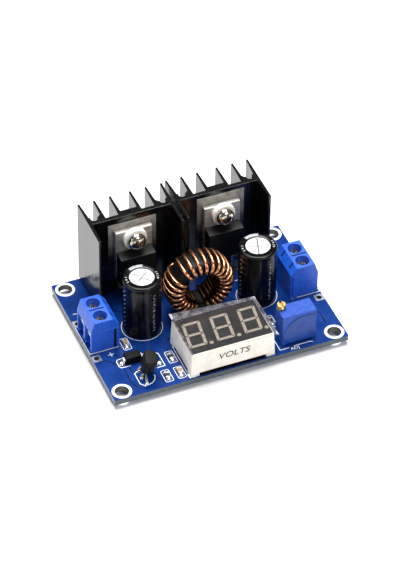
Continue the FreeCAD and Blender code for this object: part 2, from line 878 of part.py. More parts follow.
def display():
    x, y, top = size("display_x"), size("display_y"), size("display_height")
    half_x, half_y, draft = size("display_length") / 2, size("display_width") / 2, size("display_draft")
    wall, foot = size("display_wall"), size("display_foot")
    face_low = top - size("face_thickness")
    window_low = face_low - size("window_depth")
    length_profile = prism(
        "xz",
        [(-half_x - draft, 0), (half_x + draft, 0), (half_x, face_low), (-half_x, face_low)],
        half_y * 2 + draft * 4,
    )
    place(length_profile, x, y + half_y + draft * 2, 0)
    width_profile = prism(
        "yz",
        [(-half_y - draft, 0), (half_y + draft, 0), (half_y, face_low), (-half_y, face_low)],
        half_x * 2 + draft * 4,
    )
    place(width_profile, x - half_x - draft * 2, y, 0)
    outside = common(length_profile, width_profile)
    inside = box(
        (x - half_x + wall, x + half_x - wall), (y - half_y + wall, y + half_y - wall), (-1, window_low)
    )
    leg = size("display_foot_length")
    under_front = box(
        (x - half_x - draft + leg, x + half_x + draft - leg), (y - half_y - 2, y + half_y + 2), (-1, foot)
    )
    under_side = box(
        (x - half_x - 2, x + half_x + 2), (y - half_y - draft + leg, y + half_y + draft - leg), (-1, foot)
    )
    windows = plain(segment_shape(window_low.value - 0.1, face_low.value + 0.1), "windows")
    finish(cut(outside, inside, under_front, under_side, windows), "display_case")
    bars = plain(segment_shape(window_low.value, top.value), "bars")
    finish(bars, "display_segments")
    rim = size("face_margin")
    face = box(
        (x - half_x + rim, x + half_x - rim), (y - half_y + rim, y + half_y - rim), (face_low, top)
    )
    finish(cut(face, plain(segment_shape(face_low.value - 1, top.value + 1), "cutouts")), "display_face")
    filling_low = foot + size("filling_above_foot")
    socket = filling_low + size("pin_socket")
    filling = box(
        (x - half_x + wall, x + half_x - wall), (y - half_y + wall, y + half_y - wall),
        (filling_low, window_low),
    )
    pin, pitch, row = size("display_pin") / 2, size("display_pin_pitch"), size("display_row") / 2
    pins = []
    sockets = []
    for n in range(6):
        for side in (-1, 1):
            px, py = through(x + pitch * (n - 2.5), y + row * side, size("display_pin") * 0.6)
            pins.append(box((px - pin, px + pin), (py - pin / 2, py + pin / 2), (lead_end, socket)))
            sockets.append(box((px - pin, px + pin), (py - pin / 2, py + pin / 2), (filling_low - 1, socket)))
    finish(cut(filling, *sockets), "display_filling")
    finish(gather(*pins), "display_pins")
    skin = prism("xy", FILM_CORNERS, size("film_thickness"))
    finish(place(skin, x, y, top), "display_film")


display()


# Multi-turn trimmer: case, slotted adjusting screw and three pins

def trimmer():
    x = right_edge - size("trimmer_inset")
    y, top, foot = size("trimmer_y"), size("trimmer_top"), size("trimmer_foot")
    long, wide = size("trimmer_length"), size("trimmer_width")
    inset = size("trimmer_screw_inset")
    sx, sy = x + inset, y + wide - inset
    shaft, play = size("trimmer_shaft_radius"), size("trimmer_play")
    low, post = top - size("trimmer_shaft_length"), size("trimmer_post")
    case = cut(
        box((x, x + long), (y, y + wide), (0, top)),
        box((x + post, x + long - post), (y - 1, y + wide + 1), (-1, foot)),
        box((x - 1, x + long + 1), (y + post, y + wide - post), (-1, foot)),
        bar(PIN_SIDES, (sx, sy), (low - play, top + 1), shaft + play),
    )
    raised, inside, middle = size("relief_height"), size("relief_radius"), size("relief_middle")
    relief = common(
        cut(
            bar(20, (x + middle, middle), (y - raised, y + 0.5), inside + size("relief_width"), "y"),
            bar(20, (x + middle, middle), (y - 1, y + 1), inside, "y"),
        ),
        box((x, x + middle + 0.8), (y - raised, y + 0.5), (middle, top)),
    )
    finish(join(case, relief), "trimmer_case")
    head, tall = size("trimmer_screw_radius"), size("trimmer_screw_height")
    up, bevel, half = top + play, size("trimmer_bevel"), size("trimmer_slot")
    screw = lathe([
        (0, low), (shaft, low), (shaft, up), (head, up), (head, up + tall - bevel), (head - bevel, up + tall),
        (0, up + tall),
    ], PIN_SIDES)
    place(screw, sx, sy, 0)
    floor = up + tall - size("trimmer_slot_depth")
    slot = box((sx - half, sx + half), (sy - head - 1, sy + head + 1), (floor, up + tall + 1))
    finish(cut(screw, slot), "trimmer_screw")
    pins = []
    for n in (-1, 0, 1):
        px = x + long / 2 + size("trimmer_pitch") * n
        py = y + wide / 2
        pin = size("trimmer_pin")
        through(px, py, reach(6, pin))
        pins.append(bar(6, (px, py), (lead_end, foot), pin))
    finish(gather(*pins), "trimmer_pins")


trimmer()


# Screw terminals: drawn with the wire entries towards -X, the right one turned half round

def terminal(side, sign):
    name = "terminal_" + side
    half, top = size("terminal_half_width"), size("terminal_top")
    long, pitch = size("terminal_length") / 2, size("terminal_pitch") / 2
    turn = None if sign < 0 else ((0, 0, 1), 180)
    cx, cy = (right_edge - size("terminal_inset")) * sign, size("terminal_y")
    hole_x, floor = size("terminal_hole_x"), size("terminal_floor")
    shell = prism(
        "xz",
        [
            (-half, 0), (half, 0), (half, size("terminal_back_top")),
            (half - size("terminal_back_slope"), top), (size("terminal_entry_slope") - half, top),
            (-half, size("terminal_entry_top")),
        ],
        long * 2,
    )
    place(shell, 0, long, 0)
    step_out, rib_out, entry = size("terminal_step"), size("terminal_rib"), size("terminal_entry_top")
    rib_low, rib_wide = half - size("terminal_rib_inset"), size("terminal_rib_width")
    play, slit = size("terminal_rib_play"), size("terminal_slit") / 2
    step = box((-half, half), (-long - step_out, -long + 0.5), (0, entry))
    rib = box((rib_low, rib_low + rib_wide), (long - 0.5, long + rib_out), (0, size("terminal_back_top") - play))
    groove = box((rib_low + play, rib_low + rib_wide - play), (-long - 1, -long + rib_out), (-1, entry - rib_out))
    hole_r = size("terminal_hole_radius")
    cuts = [
        groove,
        box((hole_x - hole_r, hole_x + hole_r), (-slit, slit), (top - size("terminal_slit_depth"), top + 1)),
    ]
    pocket, pocket_end = size("terminal_pocket_half"), size("terminal_pocket_end")
    slot_x, tail = half - size("terminal_back_slope"), size("cage_tail_x")
    for pole in (-1, 1):
        py = pitch * pole
        cuts.append(box((-half - 1, pocket_end), (py - pocket, py + pocket), (floor, size("terminal_pocket_top"))))
        cuts.append(bar(SCREW_SIDES, (hole_x, py), (floor + 1, top + 1), hole_r))
        cuts.append(box(
            (-half - 1, size("terminal_notch_depth") - half),
            (py - size("terminal_notch_half"), py + size("terminal_notch_half")), (-1, floor + 0.5),
        ))
        cuts.append(box((slot_x, half + 1), (py - slit, py + slit), (size("terminal_back_slit_low"), top + 1)))
        cuts.append(box(
            (tail - size("cage_tail_pocket"), tail + size("cage_tail_pocket")),
            (py - size("cage_tail_pocket"), py + size("cage_tail_pocket")), (-1, floor + 1),
        ))
    housing = cut(join(shell, step, rib), *cuts)
    finish(place(housing, cx, cy, 0, turn), name + "_housing")
    cages = []
    across, wall = size("cage_half"), size("cage_wall")
    cage_front, cage_back = size("cage_front"), size("cage_back")
    shank, broad = size("terminal_shank_radius"), size("cage_tail_half")
    for pole in (-1, 1):
        py = pitch * pole
        cages.append(cut(
            join(
                cut(
                    box((cage_front, cage_back), (py - across, py + across), (floor, size("nut_top"))),
                    box(
                        (cage_front - 1, cage_back + 1), (py - across + wall, py + across - wall),
                        (floor + wall, size("nut_bottom")),
                    ),
                ),
                box((tail - broad, tail + broad), (py - broad, py + broad), (lead_end, floor + wall / 2)),
            ),
            bar(PIN_SIDES, (hole_x, py), (floor + 2, 7), shank + size("terminal_play")),
        ))
        through(cx - tail * sign, cy - py * sign, size("cage_tail_hole"))
    finish(place(gather(*cages), cx, cy, 0, turn), name + "_cages")
    for pole, word in ((-1, "front"), (1, "rear")):
        if sign > 0:
            word = {"front": "rear", "rear": "front"}[word]
        py = pitch * pole
        thick, low = size("leaf_thickness"), size("leaf_bottom")
        front, half_leaf, half_lip = size("leaf_front"), size("leaf_half"), size("leaf_lip_half")
        leaf = join(
            box((front, size("leaf_back")), (py - half_leaf, py + half_leaf), (low, low + thick)),
            box((front, front + thick), (py - half_lip, py + half_lip), (low, size("leaf_top"))),
        )
        finish(place(leaf, cx, cy, 0, turn), "%s_leaf_%s" % (name, word))
        head, under = size("terminal_head_radius"), size("terminal_head_bottom")
        tall = size("terminal_head_height")
        screw = lathe([
            (0, low + thick), (shank, low + thick), (shank, under), (head, under), (head, under + tall),
            (0, under + tall),
        ], SCREW_SIDES)
        place(screw, hole_x, py, 0)
        thin, arm = size("terminal_slot") / 2, size("terminal_cross_half")
        depth = (under + tall - size("terminal_slot_depth"), under + tall + 1)
        cross = join(
            box((hole_x - head - 1, hole_x + head + 1), (py - thin, py + thin), depth),
            box((hole_x - thin, hole_x + thin), (py - arm, py + arm), depth),
        )
        finish(place(cut(screw, cross), cx, cy, 0, turn), "%s_screw_%s" % (name, word))


terminal("left", -1)
terminal("right", 1)


# Surface-mount diode and its two bent strips

def diode():
    x, y = left_edge + size("diode_inset"), size("diode_y")
    half_x, half_y, tall = size("diode_length") / 2, size("diode_width") / 2, size("diode_height")
    seat, seam, draft = size("diode_seat"), size("diode_seam"), size("diode_draft")
    strip, reach_out, half_strip = size("diode_strip"), size("diode_strip_reach"), size("diode_strip_width") / 2
    profile = [
        (draft - half_x, seat), (half_x - draft, seat), (half_x, seam), (half_x - draft, tall),
        (draft - half_x, tall), (-half_x, seam),
    ]
    body = prism("xz", profile, half_y * 2)
    finish(place(body, x, y + half_y, 0), "diode_body")
    strips = []
    for side in (-1, 1):
        far, near = half_x + reach_out, half_x + reach_out - strip
        spans = [(near, far), (half_x - draft, near)]
        low, high = [(x + a * side, x + b * side) for a, b in spans]
        across, over = (y - half_strip, y + half_strip), seam + strip / 2
        upright = box(low if side > 0 else low[::-1], across, (0, over))
        arm = box(high if side > 0 else high[::-1], across, (over - strip, over))
        strips.append(join(upright, arm))
    finish(cut(gather(*strips), body), "diode_leads")


diode()


# Transistor with a flat side, leaning on its three leads

# Where its leads enter the board, from the left edge
TRANSISTOR_FEET = [(9.8, -15.3), (9.6, -17.9), (10.0, -20.5)]


def transistor():
    edge = left_edge.value
    start = V(edge + size("transistor_inset").value, size("transistor_y").value, size("transistor_lift").value)
    along = V(0.14, -0.285, 0.948).normalize()
    face = V(-0.955, 0.21, 0.205)
    face = (face - along * face.dot(along)).normalize()
    across = along.cross(face)
    radius, length = size("transistor_radius"), size("transistor_length")
    flat = size("transistor_flat")
    body = cut(
        bar(CAN_SIDES, (0, 0), (0, length), radius),
        box((flat, radius * 2), (-radius * 2, radius * 2), (-1, length + 1)),
    )
    matrix = FreeCAD.Matrix(
        face.x, across.x, along.x, start.x,
        face.y, across.y, along.y, start.y,
        face.z, across.z, along.z, start.z,
        0, 0, 0, 1,
    )
    body.Placement = FreeCAD.Placement(matrix)
    finish(body, "transistor_body")
    leads = []
    for n, (from_edge, y) in zip((-1, 0, 1), TRANSISTOR_FEET):
        exit_point = start + across * (size("transistor_pitch").value * n)
        x = edge + from_edge
        path = [V(x, y, lead_end.value), V(x, y, 0.5), exit_point - along * 0.55, exit_point]
        leads.append(square_wire(path, size("transistor_lead").value))
        through(x, y, size("transistor_hole"))
    finish(plain(Part.makeCompound(leads), "leads"), "transistor_leads")


def square_wire(points, half):
    """A four-sided wire along a path, mitred at each corner."""
    first = (points[1] - points[0]).normalize()
    side = V(1, 0, 0) if abs(first.x) < 0.9 else V(0, 1, 0)
    other = first.cross(side).normalize()
    side = other.cross(first)
    ring = [points[0] + side * a * half + other * b * half for a, b in ((1, 1), (-1, 1), (-1, -1), (1, -1))]
    rings = [ring]
    for i in range(1, len(points)):
        along = (points[i] - points[i - 1]).normalize()
        normal = along
        if i + 1 < len(points):
            normal = (along + (points[i + 1] - points[i]).normalize()).normalize()
        rings.append([c + along * ((points[i] - c).dot(normal) / along.dot(normal)) for c in rings[-1]])
    faces = [rings[0], rings[-1]]
    for low, high in zip(rings, rings[1:]):
        for k in range(4):
            faces.append([low[k - 1], low[k], high[k], high[k - 1]])
    return closed_solid(faces)


transistor()


# Chip capacitors and resistors lie along Y, with metal ends

display_reach = size("display_length") / 2 + size("display_draft")
beside_left = size("display_x") - display_reach - size("chip_from_display")
row_left = size("display_x") - display_reach - size("chip_row_from_display")
beside_right = size("display_x") + display_reach + size("chip_right_of_display")
beside_terminal = size("chip_from_terminal") - terminal_inner
CHIP_CAPACITORS = [(beside_terminal, -4.75), (beside_left, -19.8)]
CHIP_RESISTORS = [(beside_left, -13.65), (row_left, -19.8), (beside_right, -10.9)]


def chips():
    half_y, half_x, end = size("chip_length") / 2, size("chip_width") / 2, size("chip_end")
    bodies = {"chip_capacitors": [], "chip_resistors": []}
    ends = []
    for name, spots, tall in (
        ("chip_capacitors", CHIP_CAPACITORS, size("chip_height")),
        ("chip_resistors", CHIP_RESISTORS, size("resistor_height")),
    ):
        for x, y in spots:
            bodies[name].append(
                box((x - half_x, x + half_x), (y - half_y + end, y + half_y - end), (size("chip_seat"), tall))
            )
            ends.append(box((x - half_x, x + half_x), (y - half_y, y - half_y + end), (0.0, tall)))
            ends.append(box((x - half_x, x + half_x), (y + half_y - end, y + half_y), (0.0, tall)))
        finish(gather(*bodies[name]), name)
    finish(gather(*ends), "chip_ends")


chips()


# Meter chip under the board, below the display

def meter_chip():
    x, y = size("display_x"), size("display_y")
    half_x, half_y = size("meter_chip_length") / 2, size("meter_chip_width") / 2
    high = bottom - size("meter_chip_stand")
    low = high - size("meter_chip_height")
    arm_low, sheet_metal, knee = high - size("meter_chip_height") / 2, size("meter_lead"), size("meter_lead_knee")
    finish(box((x - half_x, x + half_x), (y - half_y, y + half_y), (low, high)), "meter_chip")
    leads = []
    thin = size("meter_lead_width") / 2
    for n in range(7):
        px = x + size("meter_lead_pitch") * (n - 3)
        for side in (-1, 1):
            near, far = y + half_y * side, y + (half_y + size("meter_lead_reach")) * side
            foot = y + (half_y + knee) * side
            arm = (near, foot) if side > 0 else (foot, near)
            toe = (foot, far) if side > 0 else (far, foot)
            leads.append(join(
                box((px - thin, px + thin), arm, (arm_low, arm_low + sheet_metal)),
                box((px - thin, px + thin), toe, (bottom - sheet_metal, bottom)),
                box(
                    (px - thin, px + thin),
                    (foot - sheet_metal, foot) if side > 0 else (foot, foot + sheet_metal),
                    (arm_low, bottom),
                ),
            ))
    finish(gather(*leads), "meter_chip_leads")


meter_chip()


# Solder beads under the board

def bead(x, y, low, high, radius, tip, spread):
    """A four-sided solder bead round a lead, wider at the board, as a solid of flat faces."""

    def ring(z, flat):
        across = flat * math.sqrt(2)
        return [V(x + across * a, y + across * b, z) for a, b in ((1, 0), (0, 1), (-1, 0), (0, -1))]

    rings = [ring(low, radius), ring(low, radius + tip), ring(high, radius + spread), ring(high, radius)]
    faces = []
    for one, two in zip(rings, rings[1:] + rings[:1]):
        for k in range(4):
            faces.append([one[k - 1], one[k], two[k], two[k - 1]])
    return closed_solid(faces)


# Board with its mounting holes and a plated hole for each lead

def board():
    half_x, half_y = size("board_length") / 2, size("board_width") / 2
    body = prism(
        "xy",
        [(-half_x, -half_y), (half_x, -half_y), (half_x, half_y), (-half_x, half_y)],
        size("board_thickness"),
    )
    place(body, 0, 0, bottom)
    doc.recompute()
    plate = body.Tip
    upright = [
        "Edge%d" % n
        for n, edge in enumerate(plate.Shape.Edges, start=1)
        if abs(edge.tangentAt(edge.FirstParameter).z) > 0.9
    ]
    rounding = body.newObject("PartDesign::Fillet", fresh("rounding"))
    rounding.Base = (plate, upright)
    bind(rounding, Radius=size("board_corner"))
    mounting = new_sketch(body, "xy")
    sx, sy = size("hole_spacing_x") / 2, size("hole_spacing_y") / 2
    circles(mounting, [(sx * a, sy * b) for a in (-1, 1) for b in (-1, 1)], size("hole_diameter") / 2)
    pocket = body.newObject("PartDesign::Pocket", fresh("mounting"))
    pocket.Profile = mounting
    pocket.Type = "ThroughAll"
    pocket.Reversed = True
    pad_x, pad_y = right_edge - size("wire_pad_inset"), size("wire_pad_y")
    holes = [(pad_x * a, pad_y * b, size("wire_pad_hole")) for a in (-1, 1) for b in (-1, 1)]
    holes += [(x, y, radius + size("lead_clearance")) for x, y, radius in LEADS]
    drills = [bar(4, (x, y), (bottom - 1, 1), radius) for x, y, radius in holes]
    finish(cut(body, *drills), "board")
    low = bottom - size("solder_height")
    tip, spread = size("solder_tip").value, size("solder_spread").value
    beads = [bead(x.value, y.value, low.value, bottom.value, radius.value, tip, spread) for x, y, radius in LEADS]
    finish(plain(Part.makeCompound(beads), "beads"), "solder_joints")


board()


# Check and write every sub-part

doc.recompute()
for item in DONE:
    shape = item.Shape
    if "Invalid" in item.State or "Error" in item.State:
        raise RuntimeError("%s is %s" % (item.Label, item.State))
    if shape.isNull() or not shape.isValid() or shape.Volume <= 0:
        raise RuntimeError("%s has no valid solid" % item.Label)
    shape.exportStep("parts/%s.step" % item.Label)
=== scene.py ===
import math

import bmesh
import bpy
import numpy as np
from mathutils import Euler, Matrix, Vector


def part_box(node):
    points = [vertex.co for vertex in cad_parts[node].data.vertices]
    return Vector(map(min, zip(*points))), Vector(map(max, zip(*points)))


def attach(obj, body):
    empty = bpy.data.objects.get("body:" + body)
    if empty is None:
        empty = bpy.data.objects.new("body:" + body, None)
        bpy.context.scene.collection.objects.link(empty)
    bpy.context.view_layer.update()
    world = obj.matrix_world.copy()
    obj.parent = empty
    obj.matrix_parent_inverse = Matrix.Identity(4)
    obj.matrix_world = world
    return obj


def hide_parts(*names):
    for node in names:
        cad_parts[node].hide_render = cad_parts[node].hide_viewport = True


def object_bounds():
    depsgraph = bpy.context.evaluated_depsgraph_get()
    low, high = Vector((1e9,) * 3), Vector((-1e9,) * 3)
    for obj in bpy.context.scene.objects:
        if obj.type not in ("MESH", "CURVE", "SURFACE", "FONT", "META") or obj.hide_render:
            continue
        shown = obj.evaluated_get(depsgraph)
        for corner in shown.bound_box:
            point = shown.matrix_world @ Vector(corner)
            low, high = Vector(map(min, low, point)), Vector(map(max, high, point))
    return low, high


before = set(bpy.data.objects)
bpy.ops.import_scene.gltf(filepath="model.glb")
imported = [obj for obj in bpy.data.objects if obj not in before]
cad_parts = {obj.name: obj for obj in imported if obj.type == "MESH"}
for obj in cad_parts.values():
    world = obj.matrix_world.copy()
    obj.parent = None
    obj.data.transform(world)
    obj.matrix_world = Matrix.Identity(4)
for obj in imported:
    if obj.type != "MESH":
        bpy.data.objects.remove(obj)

# Looks, light and camera of a step-down converter module. Lengths in this file are
# millimetres in the frame's own axes, and MM turns them to metres where a mesh is made.

MM = 0.001
cad_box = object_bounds()
scene = bpy.context.scene


def corners(node):
    """Lowest and highest corner of a CAD node and its middle, in millimetres."""
    low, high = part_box(node)
    low, high = np.array(low) / MM, np.array(high) / MM
    return low, high, (low + high) / 2


# Places and names that several pieces share

SIDES = ("left", "right")
PLACES = ("front", "rear")
HOLE_SPACING = (60.0, 41.5)
HOLE_RADIUS = 1.8
BOARD_TOP = 0.0
BOARD_BOTTOM = -1.6
CHOKE = np.array([0.05, 0.9, 9.8])
INK = 0.03
SHARP_ANGLE = 35.0


# Mesh helpers

def added(name, data):
    """A new object, put in the scene."""
    made = bpy.data.objects.new(name, data)
    scene.collection.objects.link(made)
    return made


def circle(steps):
    """Angles right round, without the doubled last one."""
    return np.linspace(0, 2 * np.pi, steps, endpoint=False)


def swelled(t, power):
    """Superellipse of half width 1: |cos t|^power by |sin t|^power, each with its sign."""
    return [np.sign(wave) * np.abs(wave) ** power for wave in (np.cos(t), np.sin(t))]


def quads(rows, columns):
    """Faces of a grid of points, row by row, whose last column joins the first."""
    row = np.arange(rows - 1)[:, None] * columns
    column = np.arange(columns)[None, :]
    a, b = row + column, row + (column + 1) % columns
    return np.stack([a, b, b + columns, a + columns], -1).reshape(-1, 4)


def make_piece(name, parts, material, body="module", sharp=SHARP_ANGLE):
    """A piece from (points in millimetres, faces) pairs: doubled points are merged, which closes
    seams and poles, normals point outwards, and edges sharper than the angle stay sharp."""
    points = np.concatenate([p for p, _ in parts])
    starts = np.cumsum([0] + [len(p) for p, _ in parts[:-1]])
    faces = [list(face) for (_, f), start in zip(parts, starts) for face in f + start]
    mesh = bpy.data.meshes.new(name)
    mesh.from_pydata((points * MM).tolist(), [], faces)
    return finish_piece(name, mesh, material, body, sharp)


def finish_piece(name, mesh, material, body, sharp):
    """Merge, turn outwards, shade and hang a mesh on its body."""
    work = bmesh.new()
    work.from_mesh(mesh)
    bmesh.ops.remove_doubles(work, verts=work.verts, dist=2e-7)
    bmesh.ops.dissolve_degenerate(work, edges=work.edges, dist=1e-8)
    bmesh.ops.recalc_face_normals(work, faces=work.faces)
    work.to_mesh(mesh)
    work.free()
    mesh.polygons.foreach_set("use_smooth", np.ones(len(mesh.polygons), bool))
    mesh.set_sharp_from_angle(angle=math.radians(sharp))
    mesh.materials.clear()
    mesh.materials.append(material)
    piece = added(name, mesh)
    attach(piece, body)
    return piece


def softened(node, width, material, segments=2):
    """A CAD node with its moulded or deburred edges: its triangles are merged back to flat faces,
    each sharp edge gets an arc of the given width in millimetres, and the normal at a corner is the
    sum of area times normal of its faces, so flat faces stay flat."""
    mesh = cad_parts[node].data.copy()
    work = bmesh.new()
    work.from_mesh(mesh)
    bmesh.ops.remove_doubles(work, verts=work.verts, dist=1e-6)
    bmesh.ops.dissolve_limit(
        work, angle_limit=math.radians(0.5), verts=work.verts, edges=work.edges,
        use_dissolve_boundaries=False,
    )
    sharp = math.radians(SHARP_ANGLE)
    edges = [e for e in work.edges if e.is_manifold and e.calc_face_angle() > sharp]
    bmesh.ops.bevel(
        work, geom=edges, offset=width * MM, offset_type="OFFSET", segments=segments, profile=0.5,
        affect="EDGES", clamp_overlap=True,
    )
    work.to_mesh(mesh)
    work.free()
    piece = finish_piece(node + "_soft", mesh, material, "module", 180.0)
    total = np.zeros((len(mesh.vertices), 3))
    for face in mesh.polygons:
        total[list(face.vertices)] += np.array(face.normal) * face.area
    total /= np.maximum(np.linalg.norm(total, axis=1), 1e-20)[:, None]
    mesh.normals_split_custom_set_from_vertices(total)
    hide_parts(node)


def turned(profile, centre, axis, steps):
    """Surface of revolution: the (radius, height) profile is turned about the axis through the
    centre, so point (i, k) is centre + radius_i (cos t_k, sin t_k) + height_i along the axis."""
    profile = np.asarray(profile, float)
    t = circle(steps)
    radius, height = profile[:, :1], profile[:, 1:]
    one, two, along = radius * np.cos(t), radius * np.sin(t), height + 0 * t
    order = {"z": (one, two, along), "-y": (one, -along, two)}[axis]
    points = np.stack(order, -1).reshape(-1, 3) + np.asarray(centre, float)
    return points, quads(len(profile), steps)


def arc(centre, radius, start, end, count):
    """Points of an arc in two coordinates: centre + radius (cos a, sin a), a from start to end in
    degrees."""
    a = np.radians(np.linspace(start, end, count))
    return np.stack([centre[0] + radius * np.cos(a), centre[1] + radius * np.sin(a)], -1)


def capped(loops):
    """Points and faces of a tube through four-cornered loops, closed at both ends."""
    count = len(loops)
    last = 4 * count - 1
    ends = np.array([[0, 1, 2, 3], [last, last - 1, last - 2, last - 3]])
    return loops.reshape(-1, 3), np.concatenate([quads(count, 4), ends])


def stroke(line, width, low, thick, closed=False):
    """A flat printed line: each point of the line is moved half the width to both sides along the
    mitre, the mean of its two neighbours' normals stretched by 1 / cos of half the turn."""
    line = np.asarray(line, float)
    after = np.roll(line, -1, 0) - line
    before = line - np.roll(line, 1, 0)
    if not closed:
        after[-1] = before[-1]
        before[0] = after[0]
    one = before / np.linalg.norm(before, axis=1)[:, None]
    two = after / np.linalg.norm(after, axis=1)[:, None]
    mean = one + two
    mean /= np.linalg.norm(mean, axis=1)[:, None]
    across = np.stack([-mean[:, 1], mean[:, 0]], -1)
    stretch = 1.0 / np.clip((mean * one).sum(1), 0.3, 1.0)
    shift = across * (width / 2 * stretch)[:, None]
    sides = [line + shift, line - shift]
    high = low + thick
    ring = [(sides[0], low), (sides[0], high), (sides[1], high), (sides[1], low)]
    points = np.stack([np.column_stack([xy, np.full(len(xy), z)]) for xy, z in ring], 1)
    if not closed:
        return capped(points)
    points = np.concatenate([points, points[:1]])
    return points.reshape(-1, 3), quads(len(points), 4)


def flat_patch(outline, low, thick):
    """A flat prism: the outline at the low height and again at low plus thick, joined by a wall, and
    each filled to its middle."""
    outline = np.asarray(outline, float)
    middle, high = outline * 0 + outline.mean(0), low + thick
    rows = [(middle, low), (outline, low), (outline, high), (middle, high)]
    points = np.concatenate([np.column_stack([flat, np.full(len(flat), z)]) for flat, z in rows])
    return points, quads(4, len(outline))


def ring_pad(centre, hole, outer, square, low, thick):
    """A flat pad round a hole: its outer edge is a circle, or a square reached by radius
    outer / max(|cos t|, |sin t|)."""
    steps = 64
    t = circle(steps)
    reach = outer / np.maximum(np.abs(np.cos(t)), np.abs(np.sin(t))) if square else outer + 0 * t
    high = low + thick
    inner = hole + 0 * t
    loops = [(inner, low), (inner, high), (reach, high), (reach, low), (inner, low)]
    rows = [
        np.stack([centre[0] + r * np.cos(t), centre[1] + r * np.sin(t), np.full(steps, z)], -1)
        for r, z in loops
    ]
    return np.stack(rows).reshape(-1, 3), quads(len(rows), steps)


def raised(half_x, half_y, steps, rings, height, power=1.0):
    """A closed round block on z = 0 over a superellipse of the half widths: its base from the middle
    out, then its top from the rim in, at the height that height(x, y, r) gives with r = 1 at the
    rim."""
    r = np.linspace(1, 0, rings)[:, None]
    x, y = (half * r * wave for half, wave in zip((half_x, half_y), swelled(circle(steps), power)))
    top = np.stack(np.broadcast_arrays(x, y, height(x, y, r)), -1)
    points = np.concatenate([top[::-1] * (1, 1, 0), top])
    return points.reshape(-1, 3), quads(2 * rings, steps)


def mound(x, y, half_x, half_y, tall, power=2.4):
    """A bead of solder on the board: height (1 - r^2)^0.6 over |cos t|^(2/power) by
    |sin t|^(2/power)."""
    def height(_, __, r):
        return tall * np.maximum(1 - r ** 2, 0) ** 0.6

    points, faces = raised(half_x, half_y, 28, 8, height, 2 / power)
    return points + (x, y, BOARD_TOP), faces


# Materials

def linear(text):
    """Linear colour with alpha from an sRGB hex value."""
    parts = np.array([int(text[i:i + 2], 16) for i in (1, 3, 5)]) / 255
    low, high = parts / 12.92, ((parts + 0.055) / 1.055) ** 2.4
    return (*np.where(parts <= 0.04045, low, high), 1.0)


def node(tree, kind, inputs=None, **settings):
    """Add a shader node with its settings; an input is a value or the output that feeds it."""
    made = tree.nodes.new("ShaderNode" + kind)
    for name, value in settings.items():
        setattr(made, name, value)
    for name, value in (inputs or {}).items():
        if isinstance(value, bpy.types.NodeSocket):
            tree.links.new(value, made.inputs[name])
        else:
            made.inputs[name].default_value = value
    return made


def maths(tree, operation, *values):
    """Result of one sum over the values."""
    return node(tree, "Math", dict(enumerate(values)), operation=operation).outputs[0]


def mapped(tree, value, low, high, start=0.0, end=1.0):
    """Runs from start to end while the value runs from low to high."""
    inputs = {"Value": value, "From Min": low, "From Max": high, "To Min": start, "To Max": end}
    return node(tree, "MapRange", inputs).outputs["Result"]


def ramped(tree, value, shades, spread=(0.0, 1.0)):
    """Colour between two hex values while the value crosses the spread."""
    made = node(tree, "ValToRGB", {"Fac": value})
    for stop, place, shade in zip(made.color_ramp.elements, spread, shades):
        stop.position, stop.color = place, linear(shade)
    return made.outputs["Color"]


def blended(tree, factor, one, two):
    """Colour that goes from one to two with the factor."""
    inputs = {"Factor": factor, "A": one, "B": two}
    return node(tree, "Mix", inputs, data_type="RGBA").outputs[2]


def placed(tree):
    """Object coordinates, and the same split into X, Y and Z."""
    place = node(tree, "TexCoord").outputs["Object"]
    return place, node(tree, "SeparateXYZ", {"Vector": place}).outputs


def surface(name, colour, metallic, roughness, **values):
    """A material whose constant values sit on the shader's own sockets."""
    material = bpy.data.materials.new(name)
    material.use_nodes = True
    shader = material.node_tree.nodes["Principled BSDF"]
    shader.inputs["Base Color"].default_value = linear(colour)
    shader.inputs["Metallic"].default_value = metallic
    shader.inputs["Roughness"].default_value = roughness
    for word, value in values.items():
        shader.inputs[word.replace("_", " ")].default_value = value
    return material, material.node_tree, shader


def grained(tree, shader, shades, grain, relief, rough, stretch=(1, 1, 1), spread=(0.35, 0.65)):
    """Grain over a surface: one noise of the given size in millimetres shifts the colour between two
    hex values and the roughness between two values, and lifts the surface by relief millimetres.
    stretch makes the grain longer along an axis."""
    place = node(tree, "TexCoord").outputs["Object"]
    aim = node(tree, "Mapping", {"Vector": place, "Scale": stretch}).outputs[0]
    inputs = {"Vector": aim, "Scale": 1 / (grain * MM), "Detail": 3.0, "Roughness": 0.6}
    noise = node(tree, "TexNoise", inputs).outputs["Fac"]
    tone = ramped(tree, noise, shades, spread)
    tree.links.new(tone, shader.inputs["Base Color"])
    tree.links.new(mapped(tree, noise, 0.3, 0.7, *rough), shader.inputs["Roughness"])
    lift = node(tree, "Bump", {"Height": noise, "Strength": 1.0, "Distance": relief * MM})
    tree.links.new(lift.outputs["Normal"], shader.inputs["Normal"])
    return tone


def finish(name, colour, metallic, roughness, shades, grain, relief, rough, **more):
    """A grained surface with nothing else on it: stretch and spread go to grained(), and every other
    word is a socket of the shader."""
    aim = {word: more.pop(word) for word in ("stretch", "spread") if word in more}
    material, tree, shader = surface(name, colour, metallic, roughness, **more)
    grained(tree, shader, shades, grain, relief, rough, **aim)
    return material


